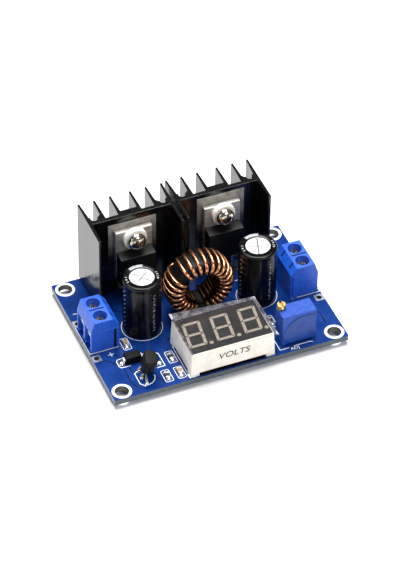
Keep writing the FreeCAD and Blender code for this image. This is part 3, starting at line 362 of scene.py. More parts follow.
def solder_mask():
    """Glossy screen-printed solder mask over copper and laminate: a deep clear blue that mirrors
    what stands on it; the routed edge shows grey-green laminate, and the drilled holes are
    dark olive."""
    material, tree, shader = surface("solder_mask_board", "#0c3176", 0.0, 0.14, IOR=1.5)
    tone = grained(tree, shader, ("#0a2d70", "#0f377e"), 6.0, 0.002, (0.1, 0.18))
    place, axes = placed(tree)
    height = maths(tree, "ABSOLUTE", maths(tree, "SUBTRACT", axes["Z"], BOARD_BOTTOM / 2 * MM))
    cut = maths(tree, "LESS_THAN", height, (-BOARD_BOTTOM / 2 - 0.02) * MM)
    weave = node(tree, "TexNoise", {"Vector": place, "Scale": 1 / (0.5 * MM), "Detail": 2.0})
    edge = ramped(tree, weave.outputs["Fac"], ("#2c373e", "#45525a"))
    outside = [
        maths(tree, "GREATER_THAN", maths(tree, "ABSOLUTE", axes[axis]), reach * MM)
        for axis, reach in (("X", 32.2), ("Y", 22.7))
    ]
    bare = blended(tree, maths(tree, "MAXIMUM", *outside), linear("#4b4a32"), edge)
    tree.links.new(blended(tree, cut, tone, bare), shader.inputs["Base Color"])
    return material


def silicone_pad():
    """Calendered insulating sheet: translucent grey, painted paler towards the top as painted light and
    darker towards the bottom as painted shade."""
    material, tree, shader = surface("insulating_sheet", "#8d8982", 0.0, 0.3, IOR=1.45, Coat_Weight=0.4)
    tone = grained(tree, shader, ("#7c7871", "#a09b93"), 2.0, 0.01, (0.25, 0.42))
    # Painted light and shade: near black low down, the sheet's grey higher up
    painted_shade_fall = mapped(tree, placed(tree)[1]["Z"], 13.0 * MM, 23.0 * MM)
    tree.links.new(blended(tree, painted_shade_fall, linear("#141516"), tone), shader.inputs["Base Color"])
    return material


def enamelled_copper():
    """Enamelled copper wire: red-brown metal under a clear amber lacquer, so its crests shine pale
    and its flanks go dark. Inside the bore the wire's colour is darkened as painted shade."""
    material, tree, shader = surface(
        "enamelled_copper", "#d5946a", 1.0, 0.26, Coat_Weight=0.15, Coat_Roughness=0.15, Coat_IOR=1.5
    )
    tone = grained(tree, shader, ("#c88a5e", "#dba078"), 2.5, 0.0, (0.24, 0.29))
    place = node(tree, "TexCoord").outputs["Object"]
    upright = node(tree, "VectorMath", {0: place, 1: (1, 0, 1)}, operation="MULTIPLY")
    axis = (CHOKE[0] * MM, 0, CHOKE[2] * MM)
    reach = node(tree, "VectorMath", {0: upright.outputs[0], 1: axis}, operation="DISTANCE")
    # Painted shade: near the core's axis the wire goes to a dark brown
    painted_bore_shade = mapped(tree, reach.outputs["Value"], 5.0 * MM, 5.8 * MM)
    tree.links.new(blended(tree, painted_bore_shade, linear("#5c3925"), tone), shader.inputs["Base Color"])
    return material


mask = solder_mask()
# The same mask where no copper lies under it: darker, as the laminate swallows the light
gap_mask = finish(
    "mask_over_laminate", "#04163f", 0.0, 0.16, ("#041338", "#061a48"), 1.2, 0.002, (0.12, 0.22),
    IOR=1.5,
)
# Screen-printed epoxy ink: matt white, a little broken at its edges
ink = finish(
    "white_print", "#eef1f4", 0.0, 0.55, ("#d9dee4", "#ffffff"), 0.25, 0.004, (0.5, 0.65), IOR=1.5
)
# Grey-white print on the shrunk film: thinner than the board's and dulled by the heat
worn_ink = finish(
    "sleeve_print", "#a3a6ab", 0.0, 0.4, ("#84878b", "#bec1c6"), 0.25, 0.003, (0.34, 0.5), IOR=1.4
)
# Pad-printed ink on the display case: soft black
case_ink = finish(
    "dark_print", "#232120", 0.0, 0.5, ("#1d1b1a", "#35322f"), 0.3, 0.002, (0.45, 0.6), IOR=1.5
)
# Extruded aluminium, dyed black by anodising: a dark oxide skin with a strong sheen at low angles,
# and faint die lines along the extrusion
anodised = finish(
    "black_anodised_extrusion", "#040405", 0.0, 0.18, ("#030304", "#070708"), 1.5, 0.03, (0.14, 0.22),
    IOR=1.48, stretch=(1, 1, 0.01),
)
pad_sheet = silicone_pad()
# Stamped copper tab with dull tin: silvery with a warm cast and a fine rolled grain
tab_metal = finish(
    "tinned_tab", "#c9c6bf", 1.0, 0.48, ("#b8b4ad", "#dedbd5"), 0.6, 0.006, (0.44, 0.58),
    stretch=(0.15, 1, 1),
)
# Transfer-moulded epoxy package: near black, matt, with a fine sparked mould texture
epoxy = finish(
    "moulded_epoxy", "#0b0c0d", 0.0, 0.4, ("#08090a", "#101112"), 0.12, 0.003, (0.36, 0.46), IOR=1.4
)
# The transistor's moulded body: charcoal and dull
charcoal = finish(
    "charcoal_epoxy", "#0c0c0d", 0.0, 0.55, ("#0a0a0b", "#111112"), 0.15, 0.004, (0.48, 0.6), IOR=1.27
)
# Injection-moulded natural nylon: milky white with light that seeps in
white_nylon = finish(
    "natural_nylon", "#efece6", 0.0, 0.42, ("#e4e0d8", "#f7f5f0"), 0.8, 0.004, (0.38, 0.5),
    IOR=1.53, Subsurface_Weight=0.25, Subsurface_Scale=0.6 * MM,
)
# Nickel-plated steel screw: mirror bright with a faint warm cast and dark reflections
nickel = finish("nickel_plate", "#d3cbbb", 1.0, 0.16, ("#bdb5a5", "#e6dfd1"), 0.5, 0.01, (0.1, 0.26))
# Heat-shrunk black film on a can: glossy with a slight orange peel
sleeve_film = finish(
    "shrink_sleeve", "#060607", 0.0, 0.2, ("#050506", "#09090b"), 1.4, 0.006, (0.14, 0.24), IOR=1.32
)
# Drawn aluminium can: pale and satin
can_metal = finish(
    "drawn_aluminium", "#c4c6c8", 1.0, 0.42, ("#bcbec0", "#cccecf"), 0.4, 0.003, (0.38, 0.48)
)
copper = enamelled_copper()
# Painted shade in the scored cross: darker grey strokes laid in the grooves of the can top
score_shade = finish(
    "painted_score_shade", "#8e8f92", 1.0, 0.5, ("#828386", "#9a9b9e"), 0.3, 0.002, (0.42, 0.58)
)
# Black moulding compound of the small parts: finer and duller than the power packages'
small_epoxy = finish(
    "small_package_black", "#040405", 0.0, 0.55, ("#030304", "#070708"), 0.1, 0.003, (0.5, 0.6), IOR=1.25
)
# Tin on a bare pad, dulled by handling
dull_tin = finish("dull_tin", "#8b8f98", 1.0, 0.5, ("#767a84", "#a6aab2"), 0.7, 0.004, (0.42, 0.58))
# Painted shade: a black strip on the board, seen only in the gap under the display's front wall
gap_shade_black = finish(
    "painted_gap_shade", "#030408", 0.0, 0.8, ("#020306", "#06070c"), 0.4, 0.004, (0.75, 0.85), IOR=1.2
)
# Epoxy-painted iron powder ring: black with a fine pebbled skin
core_paint = finish(
    "painted_core", "#030304", 0.0, 0.42, ("#020203", "#060607"), 0.35, 0.01, (0.36, 0.48), IOR=1.26
)
# Moulded ivory case of the display: warm white, matt
ivory = finish(
    "ivory_case", "#efe8dd", 0.0, 0.5, ("#e6dfd3", "#f6f1e8"), 3.0, 0.006, (0.45, 0.58), IOR=1.5
)
# Screen-printed charcoal face of the display, smooth and slightly glossy
face_print = finish(
    "charcoal_face", "#242324", 0.0, 0.12, ("#222122", "#2a292a"), 2.5, 0.0005, (0.1, 0.16), IOR=1.45
)
# Cast epoxy light bars, unlit: grey-beige and faintly cloudy
segment_resin = finish(
    "cast_segments", "#908679", 0.0, 0.2, ("#847a6d", "#9c9286"), 1.1, 0.001, (0.16, 0.26), IOR=1.4
)
# Thin clear protective film: mostly seen by its shine and a grey haze
clear = finish(
    "clear_film", "#8f8c8c", 0.0, 0.05, ("#868383", "#9a9797"), 4.0, 0.006, (0.03, 0.08),
    IOR=1.5, Alpha=0.05,
)
# The raised hem of the film, where it stands off the display: hazy and pale
hem = finish(
    "film_hem", "#5c5a5f", 0.0, 0.2, ("#3c3a40", "#8a888e"), 1.6, 0.006, (0.12, 0.3),
    IOR=1.45, Alpha=0.72, spread=(0.34, 0.74),
)
# Painted shade: the housing's blue made dark, for bars laid in slits and grooves where hardly any light
# reaches
slit_shade_blue = finish(
    "painted_slit_shade", "#051238", 0.0, 0.7, ("#04102f", "#071742"), 0.5, 0.004, (0.65, 0.8), IOR=1.25
)
# Potting skin over the trimmer's face: greyer than the case and smoother
trimmer_dull = finish(
    "trimmer_panel_blue", "#1c3f8c", 0.0, 0.36, ("#193a80", "#22489a"), 2.2, 0.002, (0.28, 0.38), IOR=1.36
)
# Painted highlights on the film's creased corners: nearly white patches
crease_glint = finish(
    "painted_crease_glint", "#b0b0b6", 0.0, 0.25, ("#8e8e96", "#d6d6da"), 0.5, 0.01, (0.18, 0.35),
    IOR=1.5, Alpha=0.85,
)
# Injection-moulded polyamide terminal housing: strong blue with a satin moulded skin
housing_blue = finish(
    "blue_polyamide", "#1a55c4", 0.0, 0.4, ("#164eb8", "#1f5ed2"), 0.8, 0.004, (0.34, 0.46), IOR=1.45
)
# Moulded polyester trimmer case: a slightly greyer blue than the terminals, matt
trimmer_blue = finish(
    "trimmer_case_blue", "#1c48a6", 0.0, 0.45, ("#19419c", "#2250b0"), 1.2, 0.005, (0.4, 0.5), IOR=1.36
)
# Turned brass adjuster: warm yellow with fine lathe marks
brass = finish("turned_brass", "#e3bd72", 1.0, 0.28, ("#cfa555", "#f0d296"), 0.3, 0.008, (0.22, 0.38))
# Tin-plated clamp leaves and cages: pale, softly shining
tin = finish("tin_plate", "#e6e1d6", 1.0, 0.42, ("#d4cec2", "#f3efe6"), 0.5, 0.006, (0.36, 0.5))
# Reflowed tin solder: silver-white, smooth, with small dull patches
solder = finish("bright_solder", "#e4e3df", 1.0, 0.24, ("#c9c8c4", "#f4f3f0"), 0.45, 0.03, (0.16, 0.36))
# Sintered ceramic chip capacitor: brown-gold, dense and slightly glossy
ceramic = finish(
    "fired_ceramic", "#8d7346", 0.0, 0.4, ("#7d6439", "#a0854f"), 0.3, 0.004, (0.34, 0.46), IOR=1.7
)
# Chip resistor: black glass glaze over the resistive film
glaze = finish(
    "resistor_glaze", "#1b1c20", 0.0, 0.3, ("#141518", "#282a30"), 0.3, 0.004, (0.24, 0.38), IOR=1.5
)
# Moulded rubber plug of the capacitor: dull black
rubber = finish(
    "rubber_seal", "#1a1a1a", 0.0, 0.7, ("#151515", "#242424"), 0.3, 0.01, (0.62, 0.8), IOR=1.52
)
# Foil and paper wound into a roll: buff
paper = finish(
    "wound_roll", "#b7a882", 0.0, 0.7, ("#a59570", "#c7b994"), 0.4, 0.01, (0.6, 0.8), stretch=(1, 1, 0.1)
)


# CAD nodes that keep their shape and take a finish

FINISHES = {
    "board": mask,
    "display_face": face_print,
    "display_segments": segment_resin,
    "display_filling": segment_resin,
    "display_film": clear,
    "chip_ends": solder,
}
for name in ("heatsink_pins", "display_pins", "trimmer_pins"):
    FINISHES[name] = tin
for name in ("regulator", "rectifier", "diode", "transistor", "meter_chip"):
    FINISHES[name + "_leads"] = tin
for side in SIDES:
    FINISHES["capacitor_%s_seal" % side] = rubber
    FINISHES["capacitor_%s_roll" % side] = paper
    FINISHES["capacitor_%s_leads" % side] = tin
    FINISHES["terminal_%s_cages" % side] = tin
    for place in PLACES:
        FINISHES["terminal_%s_leaf_%s" % (side, place)] = tin

for name, material in FINISHES.items():
    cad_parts[name].material_slots[0].material = material


# CAD nodes whose moulded or deburred edges show

for side in SIDES:
    softened("heatsink_" + side, 0.2, anodised)
    softened("insulating_pad_" + side, 0.06, pad_sheet)
    softened("terminal_%s_housing" % side, 0.1, housing_blue)
for name in ("regulator", "rectifier"):
    softened(name + "_tab", 0.24, tab_metal)
    softened(name + "_body", 0.12, epoxy)
for name in ("diode_body", "meter_chip"):
    softened(name, 0.1, small_epoxy)
softened("display_case", 0.14, ivory)
softened("trimmer_case", 0.16, trimmer_blue)
softened("chip_resistors", 0.05, glaze)
softened("chip_capacitors", 0.05, ceramic)
softened("solder_joints", 0.16, solder, segments=3)


# Choke: a painted ring and one enamelled wire wound round it

TURN_ANGLES = [
    -111, -123.5, -136, -148.5, -161, -173.5, -186, -198.5, -211.5, -236, -249.5, -263, -276.5,
    -290, -303, -316, -329.5, -343, -356, -369, -381.5, -394.5, -407, -420, -436,
]
WIRE_RADIUS = 0.47
COIL_INNER, COIL_OUTER, COIL_DEPTH = 4.85, 9.15, 4.0
INNER_BEND, OUTER_BEND = 1.15, 1.6
LEAD_END = -2.7
CORE_GAP = 0.12
FIRST_STEP = 9.0
CORE_POWER = 0.55


def coil_spot(radius, angle, depth):
    """Points at a radius and an angle in degrees in the ring's upright plane, and a depth along Y."""
    turn = np.radians(angle)
    return np.stack(np.broadcast_arrays(radius * np.cos(turn), depth, radius * np.sin(turn)), -1) + CHOKE


def coil_corners():
    """Corners of the wire's route: for each turn the back run in, the run through the eye, the front
    run out and the run over the rim, each bend as two corners."""
    angles = np.array(TURN_ANGLES, float)
    before = np.concatenate([[angles[0] + FIRST_STEP], angles[:-1]])
    step = angles - before
    route = [
        (COIL_OUTER, before, COIL_DEPTH - OUTER_BEND),
        (COIL_OUTER - OUTER_BEND, before + step * 0.1, COIL_DEPTH),
        (COIL_INNER + INNER_BEND, before + step * 0.85, COIL_DEPTH),
        (COIL_INNER, angles, COIL_DEPTH - INNER_BEND),
        (COIL_INNER, angles, INNER_BEND - COIL_DEPTH),
        (COIL_INNER + INNER_BEND, angles, -COIL_DEPTH),
        (COIL_OUTER - OUTER_BEND, angles, -COIL_DEPTH),
        (COIL_OUTER, angles, OUTER_BEND - COIL_DEPTH),
    ]
    turns = np.stack([coil_spot(*spot) for spot in route], 1).reshape(-1, 3)
    start = coil_spot(COIL_OUTER, before[0], COIL_DEPTH)
    end = coil_spot(COIL_OUTER - 0.3, angles[-1], -COIL_DEPTH)
    down = np.array([0, 0, 1.0])
    first = [start * (1, 1, 0) + LEAD_END * down, start]
    last = [end, end * (1, 1, 0) + LEAD_END * down]
    return np.concatenate([first, turns[1:-2], last])


def rounded_line(points, times):
    """Cut each corner at a quarter of its two runs, several times over, which tends to a smooth curve
    that keeps both ends."""
    for _ in range(times):
        a, b = points[:-1], points[1:]
        cuts = np.stack([0.75 * a + 0.25 * b, 0.25 * a + 0.75 * b], 1).reshape(-1, 3)
        points = np.concatenate([points[:1], cuts, points[-1:]])
    return points


def wire_surface(points, radius, sides):
    """A round wire: at each point the circle radius (cos t n + sin t b), where n is the direction
    away from the core's section, square to the wire, and b is square to both."""
    along = np.gradient(points, axis=0)
    along /= np.linalg.norm(along, axis=1)[:, None]
    offset = points - CHOKE
    offset[:, 1] = 0
    section = CHOKE + offset / np.linalg.norm(offset, axis=1)[:, None] * (COIL_INNER + COIL_OUTER) / 2
    out = points - section
    out -= along * (out * along).sum(1)[:, None]
    out /= np.linalg.norm(out, axis=1)[:, None]
    side = np.cross(along, out)
    t = circle(sides)[None, :, None]
    rings = points[:, None] + radius * (np.cos(t) * out[:, None] + np.sin(t) * side[:, None])
    first, last = (np.repeat(end[:, None], sides, 1) for end in (points[:1], points[-1:]))
    rings = np.concatenate([first, rings, last])
    return rings.reshape(-1, 3), quads(len(rings), sides)


def core_profile():
    """Section of the ring: a superellipse |cos t|^0.55 by |sin t|^0.55, which is a rectangle with
    generous corners."""
    across, along = swelled(np.linspace(0, 2 * np.pi, 41), CORE_POWER)
    inner = COIL_INNER + WIRE_RADIUS + CORE_GAP
    outer = COIL_OUTER - WIRE_RADIUS - CORE_GAP
    deep = COIL_DEPTH - WIRE_RADIUS - CORE_GAP
    return np.stack([(inner + outer) / 2 + (outer - inner) / 2 * across, deep * along], -1)


ring = make_piece("choke_core", [turned(core_profile(), CHOKE, "-y", 96)], core_paint)
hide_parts("inductor_core")
wire = make_piece(
    "choke_winding", [wire_surface(rounded_line(coil_corners(), 3), WIRE_RADIUS, 14)], copper
)
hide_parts("inductor_winding")


# Grooves that the tops of cans and screws share

def groove(across, along, half, slope, reach=math.inf, fade=1.0):
    """Depth of a straight groove, 0 to 1: min(1, (half - |across|) / slope) where it is positive,
    and the same over its length with reach and fade."""
    walls = np.clip((half - np.abs(across)) / slope, 0, 1)
    return walls * np.clip((reach - np.abs(along)) / fade, 0, 1)


def crossed(x, y, turn, *shape):
    """Two equal grooves at right angles, turned about the middle."""
    c, s = math.cos(turn), math.sin(turn)
    u, v = c * x + s * y, c * y - s * x
    return np.maximum(groove(u, v, *shape), groove(v, u, *shape))


# Capacitor sleeves: shrunk film, rounded over the rim of the can

SLEEVE_SKIN = 0.15
SLEEVE_RIM = 3.3
SLEEVE_BEND = 0.55
CAN_WALL = 0.3
CAN_BEND = 0.45
SCORE_HALF = 0.16
SCORE_REACH = 3.2
SCORE_DEPTH = 0.22
SCORE_LINES = ((1.0, 3.2, 0.18), (0.1, 3.1, 0.08), (0.1, 1.2, 0.05), (0.1, 3.1, 0.06))


def sleeve_profile(low, high, outer):
    """Profile of a shrunk sleeve: up the wall, over the shoulder on an arc, in to the rim and back
    down inside."""
    waist, dip = high - 1.35, 0.09
    middle = (outer - SLEEVE_BEND, high - SLEEVE_BEND)
    over = arc(middle, SLEEVE_BEND, 0, 90, 8)
    under = arc(middle, SLEEVE_BEND - SLEEVE_SKIN, 90, 0, 8)
    foot = (outer - SLEEVE_SKIN, low)
    wall = [foot, (outer, low), (outer, waist - 0.5), (outer - dip, waist), (outer, waist + 0.4)]
    edge = [(SLEEVE_RIM + 0.1, high), (SLEEVE_RIM, high - 0.06), (SLEEVE_RIM, high - SLEEVE_SKIN)]
    return np.concatenate([wall, over, edge, under, [foot]])


def round_mark(centre, radius, start, end, low, high):
    """A printed patch on an upright cylinder: radius (cos a, sin a) from one angle to another, closed
    by a second skin just inside."""
    count, lift = 14, 0.015
    a = np.radians(np.linspace(start, end, count))
    rows = [
        np.stack([centre[0] + r * np.cos(a), centre[1] + r * np.sin(a), np.full(count, z)], -1)
        for r, z in ((radius, low), (radius + lift, low), (radius + lift, high), (radius, high))
    ]
    return capped(np.stack(rows, 1))


def top_mark(centre, inner, outer, start, end, z):
    """A printed arc on the flat rim: a ring sector between two radii."""
    middle = arc(centre, (inner + outer) / 2, start, end, 20)
    return stroke(middle, outer - inner, z, 0.012)


def drawn_can(centre, low, high, radius, turn):
    """A drawn can: a flat top over (r, t) with the scored cross sunk into it, a round shoulder, the
    wall, and the same path back inside."""
    steps, rings = 180, 44
    t = circle(steps)
    r = (radius - CAN_BEND) * np.linspace(0, 1, rings)[:, None]
    x, y = r * np.cos(t), r * np.sin(t)
    sunk = SCORE_DEPTH * crossed(x, y, turn, SCORE_HALF, SCORE_HALF, SCORE_REACH, 0.2)
    top = np.stack([x + centre[0], y + centre[1], high - sunk], -1)
    middle = (radius - CAN_BEND, high - CAN_BEND)
    outside = arc(middle, CAN_BEND, 85, 0, 6)
    inside = arc(middle, CAN_BEND - CAN_WALL / 2, 0, 90, 4) - CAN_WALL / 2
    foot = [(radius, low), (radius - CAN_WALL, low)]
    profile = np.concatenate([outside, foot, inside, [(0, high - CAN_WALL)]])
    side, _ = turned(profile, centre * (1, 1, 0), "z", steps)
    points = np.concatenate([top.reshape(-1, 3), side])
    return points, quads(rings + len(profile), steps)


def sleeve_marks(centre, radius, top):
    """The polarity band of short bars, its end on the rim, and rows of small dashes where a rating
    would be printed."""
    marks = [top_mark(centre, 3.75, 4.65, 66, 118, top)]
    dashes = ((160, 3), (172, 6), (186, 4), (330, 6), (341, 3), (352, 5), (4, 3))
    for n, (start, wide) in enumerate(dashes):
        marks.append(top_mark(centre, 3.85 + 0.1 * (n % 2), 4.45, start, start + wide, top))
    for n in range(9):
        for k in range(4):
            a, z = 183 + 2.6 * k, 2.6 + 1.5 * n + 0.2 * k
            marks.append(round_mark(centre, radius, a, a + 2, z, z + 0.28))
    for n in range(19):
        shift, wide = ((0, 7), (3, 4), (0, 4), (2, 6), (1, 3))[n % 5]
        a, z, tall = 283 + shift, 2.4 + 0.68 * n, 0.4 if n % 3 == 1 else 0.16
        marks.append(round_mark(centre, radius, a, a + wide, z, z + tall))
    return marks


def capacitor(side, cross):
    """Sleeve, can with its scored top turned by the angle, the print, and strokes of painted shade in the
    score.
    """
    name = "capacitor_%s_sleeve" % side
    low, high, centre = corners(name)
    outer = (high[0] - low[0]) / 2
    film = turned(sleeve_profile(low[2], high[2], outer), centre * (1, 1, 0), "z", 96)
    sleeve = make_piece(name + "_film", [film], sleeve_film, sharp=60)
    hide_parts(name)
    can_low, can_high, _ = corners("capacitor_%s_can" % side)
    shell = drawn_can(centre, can_low[2], can_high[2], outer - SLEEVE_SKIN, math.radians(cross))
    can = make_piece("capacitor_%s_can_drawn" % side, [shell], can_metal, sharp=30)
    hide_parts("capacitor_%s_can" % side)
    make_piece("capacitor_%s_band" % side, sleeve_marks(centre, outer, high[2]), worn_ink)
    # Painted shade: darker strokes along the arms of the scored cross
    lines = []
    for n, (begin, end, wide) in enumerate(SCORE_LINES):
        a = math.radians(cross + 90 * n)
        line = [(centre[0] + r * math.cos(a), centre[1] + r * math.sin(a)) for r in (begin, end)]
        lines.append(stroke(line, wide, can_high[2] - 0.2, 0.195))
    make_piece("capacitor_%s_score" % side, lines, score_shade, sharp=30)


capacitor("left", 39)
capacitor("right", -18)


# Clamp screws, shoulder washers, terminal screws and the adjuster

HEAD_HEIGHT = 2.1
FLANGE_HEIGHT = 1.45
FLANGE_ROUND = 0.3
WASHER_BORE = 1.53


def domed_head(centre, radius, turn):
    """A pan head facing -Y: height (0.3 + 0.7 (1 - r^2.6)^0.5) with the cross recess sunk into it,
    which fades out at 0.62 of the radius."""
    def height(x, y, r):
        dome = HEAD_HEIGHT * (0.3 + 0.7 * np.sqrt(np.maximum(1 - r ** 2.6, 0)))
        return dome - 1.3 * crossed(x, y, turn, 0.3, 0.09, 0.62 * radius, 0.45)

    points, faces = raised(radius, radius, 144, 46, height)
    return points[:, [0, 2, 1]] * (1, -1, 1) + centre, faces


def clamp_screw(side, turn):
    """Head and shank in place of the CAD screw."""
    name = "clamp_screw_" + side
    low, high, middle = corners(name)
    under = low[1] + HEAD_HEIGHT
    end, seat = under - high[1], (middle[0], under, middle[2])
    head = domed_head(seat, (high[0] - low[0]) / 2, turn)
    shank = turned([(0, 0), (1.42, 0), (1.42, end + 0.4), (1.1, end), (0, end)], seat, "-y", 40)
    piece = make_piece(name + "_plated", [head, shank], nickel, sharp=28)
    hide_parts(name)


def shoulder_washer(side):
    """A moulded washer: flange with rounded rim, and its barrel in the tab's hole."""
    name = "shoulder_washer_" + side
    low, high, middle = corners(name)
    wide = (high[0] - low[0]) / 2
    end = FLANGE_HEIGHT - high[1] + low[1]
    rim = arc((wide - FLANGE_ROUND, FLANGE_HEIGHT - FLANGE_ROUND), FLANGE_ROUND, 0, 90, 6)
    profile = np.concatenate([
        [(WASHER_BORE, end), (1.8, end), (1.8, 0), (wide, 0)], rim,
        [(1.65, FLANGE_HEIGHT), (WASHER_BORE, FLANGE_HEIGHT - 0.1), (WASHER_BORE, end)],
    ])
    washer = turned(profile, (middle[0], low[1] + FLANGE_HEIGHT, middle[2]), "-y", 80)
    piece = make_piece(name + "_moulded", [washer], white_nylon)
    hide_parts(name)


def cross_slot(x, y):
    """A slot right across along X, 0.6 wide and 0.8 deep, and a shorter one along Y."""
    return 0.8 * np.maximum(groove(y, x, 0.34, 0.08), groove(x, y, 0.34, 0.08, 1.14, 0.08))


def straight_slot(x, y):
    """A slot right across along Y, 0.6 wide and 0.8 deep."""
    return 0.8 * groove(x, y, 0.3, 0.08)


def upright_screw(name, new_name, tall, shank_radius, sunk, material, body):
    """Head and shank in place of an upright CAD screw: a cheese head with a bevelled rim, tall from
    its seat, less the depth that sunk gives at (x, y)."""
    low, high, middle = corners(name)
    under, wide, bevel = high[2] - tall, (high[0] - low[0]) / 2, 0.15

    def height(across, along, r):
        rim = np.clip(1 - wide * (1 - r) / bevel, 0, 1)
        return tall - bevel * rim ** 2 - sunk(across, along)

    points, faces = raised(wide, wide, 144, 36, height)
    thin, top = shank_radius, under + 0.2
    profile = [(0, low[2]), (thin - 0.1, low[2]), (thin, low[2] + 0.1), (thin, top), (0, top)]
    axis = middle * (1, 1, 0)
    parts = [(points + axis + (0, 0, under), faces), turned(profile, axis, "z", 40)]
    piece = make_piece(new_name, parts, material, body, sharp=28)
    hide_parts(name)


clamp_screw("left", 0.35)
clamp_screw("right", -0.15)
for side in SIDES:
    shoulder_washer(side)
    for place in PLACES:
        name = "terminal_%s_screw_%s" % (side, place)
        upright_screw(
            name, name + "_plated", 1.6, 1.25, cross_slot, nickel,
            "%s_%s_screw" % (side, place),
        )
upright_screw(
    "trimmer_screw", "trimmer_screw_turned", 1.5, 0.6, straight_slot, brass, "trimmer_adjuster"
)


# Terminals: round mouths of the screw wells, and painted shade in slits and grooves

TERMINAL_X = 28.3
TERMINAL_Y = 0.5
TERMINAL_TOP = 10.1


def screw_wells(side):
    """Collars in the two wells of a terminal: the wall, a small round lip and a narrow flat."""
    top = corners("terminal_%s_housing" % side)[1][2]
    lip, low, inner, outer = 0.09, 6.45, 1.86, 2.1
    parts = []
    for place in PLACES:
        middle = corners("terminal_%s_screw_%s" % (side, place))[2]
        profile = np.concatenate([
            [(inner, low)], arc((inner + lip, top - lip), lip, 180, 90, 5),
            [(outer, top + 0.004), (outer, top - 0.2), (inner + 0.12, low), (inner, low)],
        ])
        parts.append(turned(profile, middle * (1, 1, 0), "z", 72))
    make_piece("terminal_%s_wells" % side, parts, housing_blue, sharp=50)


def slit_shade_bars(side, sign):
    """Painted shade in the slit between the wells, in the two slits of the inner slope and on the floor
    of the groove in the end: thin dark bars laid in each of them."""
    box = np.array([[3, 2, 1, 0], [4, 5, 6, 7], [0, 1, 5, 4], [1, 2, 6, 5], [2, 3, 7, 6], [3, 0, 4, 7]])
    parts = []

    def bar(ends, y, half, lift, drop=0.4):
        """ends: two (x, z) points in the housing's own frame; the bar is twice half wide along Y."""
        near, far = ends
        points = [
            (sign * (TERMINAL_X - x), y + half * k, z + rise)
            for rise in (-drop, lift)
            for (x, z), k in ((near, -1), (far, -1), (far, 1), (near, 1))
        ]
        parts.append((np.array(points), box))

    bar(((-2.5, TERMINAL_TOP), (1.75, TERMINAL_TOP)), TERMINAL_Y, 0.22, 0.008)
    bar(((2.42, 6.5), (3.08, 6.5)), TERMINAL_Y + 4.8 * sign, 0.1, 0.05, 6.45)
    for place in PLACES:
        y = corners("terminal_%s_screw_%s" % (side, place))[2][1]
        bar(((2.26, 10.04), (3.25, 8.79)), y, 0.25, 0.02)
    # Painted shade: the bars carry a dark blue where the slits lie in shade
    make_piece("terminal_%s_slit_depth" % side, parts, slit_shade_blue, sharp=30)


for side, sign in zip(SIDES, (-1, 1)):
    screw_wells(side)
    slit_shade_bars(side, sign)


# Trimmer and display: the dull panel on the trimmer's face, and painted shade under the display's front
# wall

def trimmer_panel():
    """A duller panel on the front: a quarter ellipse at its upper left, square elsewhere, 0.015
    proud."""
    low, high, _ = corners("trimmer_case")
    left, right, base, top = low[0] + 0.25, high[0] - 0.4, 1.5, 8.9
    curve = arc((0, 0), 1, 90, 180, 24) * (5.4, 6.2) + (left + 5.4, top - 6.2)
    outline = np.concatenate([[(right, base), (right, top)], curve, [(left, base)]])
    points, faces = flat_patch(outline, low[1] + 0.01, -0.025)
    make_piece("trimmer_panel", [(points[:, [0, 2, 1]], faces)], trimmer_dull, sharp=30)


trimmer_panel()
# Painted shade: a black strip on the board where the gap under the display lies in shade
make_piece(
    "display_gap_shade", [stroke([(-8.75, -22.1), (9.25, -22.1)], 1.45, BOARD_TOP, 0.02)], gap_shade_black
)


# Transistor: its moulded body with a flat side, leaning on its leads

def transistor():
    """A D-shaped prism, 2.3 in radius with a flat at 1.3: its outline is drawn in by an inset at each
    level along the axis, which rounds both ends."""
    start = np.array([-21.6, -16.4, 1.8])
    along = np.array([0.14, -0.285, 0.948])
    along /= np.linalg.norm(along)
    face = np.array([-0.955, 0.21, 0.205])
    face -= along * face.dot(along)
    face /= np.linalg.norm(face)
    across = np.cross(along, face)
    radius, flat, length = 2.3, 1.3, 4.8
    edge = math.degrees(math.acos(flat / radius))
    outline = arc((0, 0), radius, edge, 360 - edge, 60)
    between = np.linspace(outline[-1][1], outline[0][1], 11)[1:-1]
    outline = np.concatenate([outline, np.stack([np.full(9, flat), between], -1)])
    levels = [
        (1.0, 0.0), (0.12, 0.0), (0.03, 0.05), (0.0, 0.15), (0.0, length - 0.3),
        (0.03, length - 0.12), (0.1, length - 0.02), (0.18, length), (1.0, length),
    ]
    rows = []
    for inset, height in levels:
        ring = outline * (1 - inset)
        rows.append(start + ring[:, :1] * face + ring[:, 1:] * across + height * along)
    moulding = np.concatenate(rows), quads(len(levels), len(outline))
    piece = make_piece("transistor_moulding", [moulding], charcoal, sharp=40)
    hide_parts("transistor_body")


transistor()


# Solder that shows on the board's top

SMALL_PARTS = ((-22.75, -4.75), (-13.5, -13.65), (-17.0, -19.8), (-13.45, -19.8), (16.0, -10.9))


def top_solder():
    """Mounds on the pads of the small parts: middle, half widths, height, and a power where round."""
    beads = []
    for x, y in SMALL_PARTS:
        beads += [(x, y - 1.3, 0.72, 0.55, 0.42), (x, y + 1.3, 0.72, 0.5, 0.35)]
    beads += [(-26.35, -11.05, 0.75, 0.95, 0.5), (-20.6, -11.05, 0.75, 0.95, 0.5)]
    beads.append((-17.2, -14.5, 0.75, 0.9, 0.5))
    beads += [(x, y, 0.62, 0.62, 0.4, 2.0) for x, y in ((-23.2, -15.3), (-23.4, -17.9), (-23.0, -20.5))]
    return [mound(*bead) for bead in beads]


make_piece("pad_solder", top_solder(), solder)


# Bare tinned pads

def tinned_pads():
    """Square wire pads at the board's ends, above and below."""
    return [
        ring_pad((x, y), 0.7, 1.2, True, low, INK)
        for x in (-31.7, 31.7) for y in (-7.1, 7.1) for low in (BOARD_TOP, BOARD_BOTTOM - INK)
    ]


make_piece("wire_pads", tinned_pads(), dull_tin)


# Printing on the board

